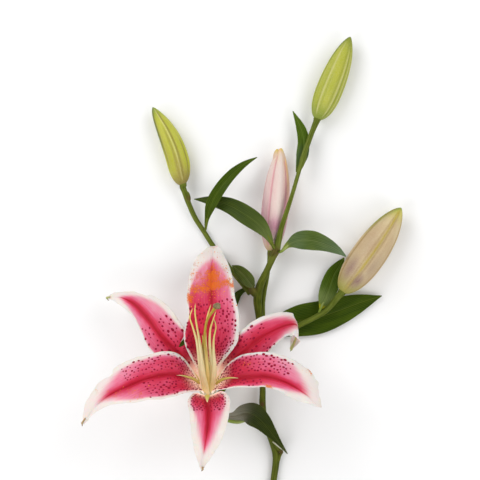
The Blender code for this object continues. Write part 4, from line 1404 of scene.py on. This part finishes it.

# %% [markdown]
# ## Leaves
# Lily leaves are strap shaped with veins running from end to end. Each is a grid along its midline with a
# sunk midrib, fine raised veins and a lazy wave, thickened a little and thinner at the margin.

# %% Leaf shapes
# Midline places and half widths are in mm; roll is in degrees; cup is how steeply the halves rise; base is
# how far its pale base reaches, in t; and the last list is where a painted sheen, a pale haze standing in
# for light glancing off the leaf, lies on it.
LEAVES = {
    "leaf_left_stalk": {
        "mid": (
            (-32.4, 50.6, 5.4), (-31, 59.5, 13), (-27.2, 71, 21.5), (-20, 83, 25), (-11.2, 93.5, 24),
            (-1.8, 101.5, 20), (8.5, 107.5, 14),
        ),
        "half": (0.8, 1.9, 4.4, 4.6, 3.8, 2.4, 0.3), "roll": (0, 10), "cup": 0.25, "base": 0.14,
        "bloom": (0, 0, 0),
    },
    "leaf_over_pink_bud": {
        "mid": (
            (20.6, 37.6, 21.8), (16.4, 46, 24.6), (9.2, 54.5, 26), (-1, 62, 24), (-13, 69, 18.5),
            (-27, 73, 12.5), (-41.5, 74.5, 8),
        ),
        "half": (1, 3.5, 6.6, 7.4, 6.2, 3.9, 0.3), "roll": (-10, 10), "cup": 0.2, "base": 0.08,
        "bloom": (1, 0.9, 0.4, 0.2, 0.05, 0, 0),
    },
    "leaf_upper_right": {
        "mid": (
            (27.6, 32.6, 18.4), (33, 38.2, 20.4), (41, 41.5, 22.5), (51.5, 41.5, 23), (62.5, 38.5, 21),
            (71.5, 34, 19), (78.6, 29, 19.5),
        ),
        "half": (0.8, 2.6, 6.8, 7.6, 5.6, 3.2, 0.3), "roll": (10, 0), "cup": 0.2, "base": 0.16,
        "bloom": (0, 0.2, 0.3, 0.1, 0.3, 0.5, 0.8),
    },
    "leaf_short_left": {
        "mid": (
            (5.8, 4.6, 15.8), (2.2, 9.4, 15.4), (-2.4, 14.8, 14), (-7, 18.8, 12.2), (-11.4, 21.8, 10.6),
        ),
        "half": (1.4, 5, 5.2, 3.8, 0.3), "roll": (0, 20), "cup": 0.2, "base": 0.05,
        "bloom": (0.2, 0.1, 0, 0, 0),
    },
    "leaf_behind_flower": {
        "mid": (
            (1.5, 4, 2.6), (-6, -1, 2.2), (-15, -13, 2.4), (-28, -26, 2.6), (-41, -35.4, 2.6),
            (-55.5, -44, 2.6),
        ),
        "half": (1.2, 2.6, 6, 6.8, 6, 0.3), "roll": (0, 0), "cup": 0.08, "base": 0.05, "bloom": (0, 0, 0),
    },
    "leaf_top_stalk": {
        "mid": ((40, 95.4, 14.2), (44, 108, 11), (45.4, 120, 9), (43.2, 131, 8.2), (37, 144.5, 8)),
        "half": (1, 4.6, 4.6, 3.6, 0.3), "roll": (0, 0), "cup": 0.12, "base": 0.08,
        "bloom": (0, 0.3, 0, 0, 0),
    },
    "leaf_right_stalk": {
        "mid": (
            (58.8, -12.8, 9.8), (62.4, -5, 7.4), (66, 4, 4.4), (69.4, 13.5, 3), (74, 21, 2.4),
            (78, 28, 2.2),
        ),
        "half": (1, 5.6, 7.2, 6.4, 4.4, 0.3), "roll": (0, 0), "cup": 0.08, "base": 0.08,
        "bloom": (0, 0.55, 0.1, 0, 0, 0),
    },
    "leaf_large": {
        "mid": (
            (17, -34, 3.4), (27, -27, 3), (43, -22.4, 3), (58.5, -19.6, 3), (75, -14, 3), (91, -8, 3.2),
            (108, -2.5, 4),
        ),
        "half": (1.4, 8.6, 12.6, 13, 11, 7, 0.3), "roll": (0, 0), "cup": 0.05, "base": 0.04,
        "bloom": (0, 0, 0),
    },
    "leaf_folded": {
        "mid": (
            (-19.4, -97.6, 12), (-9.6, -96.6, 18), (-1.9, -93.6, 24), (5, -94.6, 26), (12.1, -100.4, 22),
            (18.6, -108.6, 17), (25.1, -117.4, 12), (32.7, -127.8, 8.5),
        ),
        "half": (1.6, 3.2, 6.6, 9, 7.2, 4.8, 2.4, 0.3), "roll": (0, 10, 10, 0, 0), "cup": 0.15,
        "base": 0.06, "bloom": (0.7, 1, 0.6, 0.1, 0, 0, 0, 0),
    },
    "leaf_spike": {
        "mid": ((14.6, -60, 11.4), (15.6, -51, 11.8), (18.2, -42, 12)), "half": (1.5, 1.6, 0.25),
        "roll": (0, 0), "cup": 0.1, "base": 0.1, "bloom": (0, 0, 0),
    },
}
print("leaves:", len(LEAVES))

# %% A place on a leaf
LeafRow = collections.namedtuple("LeafRow", "centre side face half bloom")
LEAF_LOOK, NARROWEST_LEAF, PLACE_SPACING = 0.01, 0.25, 12.0
MIDRIB_DEPTH, MIDRIB_HALF, LEAF_VEIN, LEAF_VEIN_GAP, LAZY_WAVE = 0.38, 0.7, 0.09, 1.25, 0.45


@functools.lru_cache(maxsize=None)
def leaf_row(name, t):
    """Everything that is the same right across a leaf at t."""
    leaf = LEAVES[name]
    mid = leaf["mid"]
    ahead = (along(mid, min(t + LEAF_LOOK, 1)) - along(mid, max(t - LEAF_LOOK, 0))).normalized()
    across = ahead.cross(Vector((0.0, 0.0, 1.0))).normalized()
    top = across.cross(ahead)
    roll = math.radians(along(leaf["roll"], t))
    side = across * math.cos(roll) + top * math.sin(roll)
    face = top * math.cos(roll) - across * math.sin(roll)
    half, bloom = max(along(leaf["half"], t), NARROWEST_LEAF), max(along(leaf["bloom"], t), 0.0)
    return LeafRow(along(mid, t), side, face, half, bloom)


def leaf_corner(name, u, t):
    leaf, row = LEAVES[name], leaf_row(name, t)
    length = PLACE_SPACING * (len(leaf["mid"]) - 1)
    phase = len(name) * 1.7
    full = min(1.0, row.half / 4)
    offset = u * row.half
    rise = leaf["cup"] * abs(offset)
    rise -= MIDRIB_DEPTH * bell(offset, MIDRIB_HALF) * full
    rise += LEAF_VEIN * math.cos(math.tau * offset / LEAF_VEIN_GAP) * full
    rise += LAZY_WAVE * u * u * math.sin(math.tau * 1.7 * t + phase + (1.3 if u > 0 else 0)) * full
    rise += 0.2 * noise.noise(Vector((offset / 4, t * 9, phase)))
    pale_base = 1 - ease(leaf["base"] * 0.4, leaf["base"] * 1.4, t)
    place = row.centre + row.side * offset + row.face * rise
    return place, (offset, t * length, row.half - abs(offset)), (row.bloom, pale_base, t)


print("the large leaf is", round(2 * leaf_row("leaf_large", 0.5).half, 1), "mm wide halfway")

# %% Finish of leaves
LEAF_WORDS = ("Dark", "Light", "Vein", "Bloom", "Base")
leaf_group, given, result = new_group("leaf skin", ("Skin", "Tone"), LEAF_WORDS)
strand = stretched(given["Skin"], (1.5, 0.03, 0.0), 3.0, 0.65)
drift = stretched(given["Skin"], (0.16, 0.06, 0.0))
pit = stretched(given["Skin"], (2.6, 1.2, 0.0))
bloom, base, _ = parts_of(given["Tone"])
offset_mm, _, edge_mm = parts_of(given["Skin"])
veins = reach(maths("COSINE", offset_mm * (math.tau / LEAF_VEIN_GAP)), 0.55, 1.0)
midrib = reach(maths("ABSOLUTE", offset_mm), 0.25, 0.9, 1.0, 0.0)
colour = blend(reach(strand * 0.6 + drift * 0.6, 0.4, 0.85), given["Dark"], given["Light"])
# The veins, midrib and margin are paler green; the fourth colour is a painted sheen, a pale haze standing in
# for light glancing off the leaf.
for share, word in (
    (veins * 0.45, "Vein"),
    (midrib * 0.5, "Vein"),
    (reach(edge_mm, 0.1, 0.7, 1.0, 0.0) * 0.5, "Vein"),
    (bloom * reach(strand, 0.25, 0.75, 0.55, 1.0), "Bloom"),
    (base, "Base"),
):
    colour = blend(share, colour, given[word])
give(result, Colour=colour, Roughness=strand * 0.25 + 0.3, Height=strand * 0.8 + pit * 0.25)
# In the order of LEAF_WORDS.
LEAF_COLOURS = {
    "leaf_left_stalk": (
        (0.022, 0.046, 0.0), (0.052, 0.086, 0.002), (0.09, 0.13, 0.012), (0.16, 0.18, 0.09),
        (0.08, 0.11, 0.01),
    ),
    "leaf_over_pink_bud": (
        (0.01, 0.026, 0.0), (0.042, 0.066, 0.002), (0.085, 0.115, 0.02), (0.13, 0.17, 0.045),
        (0.12, 0.15, 0.02),
    ),
    "leaf_upper_right": (
        (0.036, 0.066, 0.001), (0.09, 0.13, 0.014), (0.15, 0.19, 0.05), (0.12, 0.18, 0.13),
        (0.24, 0.28, 0.03),
    ),
    "leaf_short_left": (
        (0.03, 0.056, 0.001), (0.08, 0.105, 0.014), (0.13, 0.15, 0.05), (0.16, 0.17, 0.1),
        (0.1, 0.11, 0.03),
    ),
    "leaf_behind_flower": (
        (0.02, 0.045, 0.0), (0.045, 0.08, 0.003), (0.07, 0.1, 0.02), (0.12, 0.14, 0.08), (0.05, 0.07, 0.01),
    ),
    "leaf_top_stalk": (
        (0.035, 0.07, 0.001), (0.075, 0.13, 0.005), (0.11, 0.17, 0.02), (0.14, 0.2, 0.14),
        (0.12, 0.16, 0.02),
    ),
    "leaf_right_stalk": (
        (0.028, 0.062, 0.0), (0.075, 0.13, 0.004), (0.11, 0.16, 0.02), (0.22, 0.27, 0.1),
        (0.32, 0.3, 0.005),
    ),
    "leaf_large": (
        (0.016, 0.04, 0.0), (0.046, 0.08, 0.001), (0.095, 0.125, 0.014), (0.12, 0.14, 0.08),
        (0.05, 0.07, 0.01),
    ),
    "leaf_folded": (
        (0.012, 0.022, 0.0), (0.03, 0.044, 0.001), (0.065, 0.08, 0.012), (0.25, 0.24, 0.19),
        (0.14, 0.2, 0.02),
    ),
    "leaf_spike": (
        (0.04, 0.06, 0.002), (0.1, 0.13, 0.01), (0.12, 0.15, 0.03), (0.16, 0.17, 0.1), (0.12, 0.14, 0.03),
    ),
}
UNDERSIDE = ((0.07, 0.10, 0.03), (0.14, 0.18, 0.07), (0.17, 0.2, 0.09), (0.2, 0.22, 0.14), (0.2, 0.22, 0.08))
leaf_finishes = {
    name: new_finish(
        name + "_skin", leaf_group, dict(zip(LEAF_WORDS, shades)), bump_mm=0.16, Specular_IOR_Level=0.08,
    )
    for name, shades in LEAF_COLOURS.items()
}
leaf_underside = new_finish(
    "leaf_underside", leaf_group, dict(zip(LEAF_WORDS, UNDERSIDE)), bump_mm=0.1, Specular_IOR_Level=0.1,
)
print("leaf finishes:", len(leaf_finishes) + 1)

# %% Build the leaves
LEAF_THICKNESS, LEAF_RIM_SHARE, LEAF_RIM_WIDTH = 0.7, 0.4, 2.5
FEWEST_COLUMNS, COLUMNS_PER_MM, ROWS_PER_PLACE = 24, 5, 18
for name, leaf in LEAVES.items():
    columns = max(FEWEST_COLUMNS, round(max(leaf["half"]) * COLUMNS_PER_MM))
    bm = sheet(columns, ROWS_PER_PLACE * (len(leaf["mid"]) - 1), lambda u, t: leaf_corner(name, u, t))
    distances = rim_distances(bm)
    made = keep(name + "_blade", bm, [leaf_finishes[name], leaf_underside], name, "leaf_green")
    thicken(made, LEAF_THICKNESS, LEAF_RIM_SHARE, LEAF_RIM_WIDTH, distances)
    print(name, len(made.data.polygons), "faces")
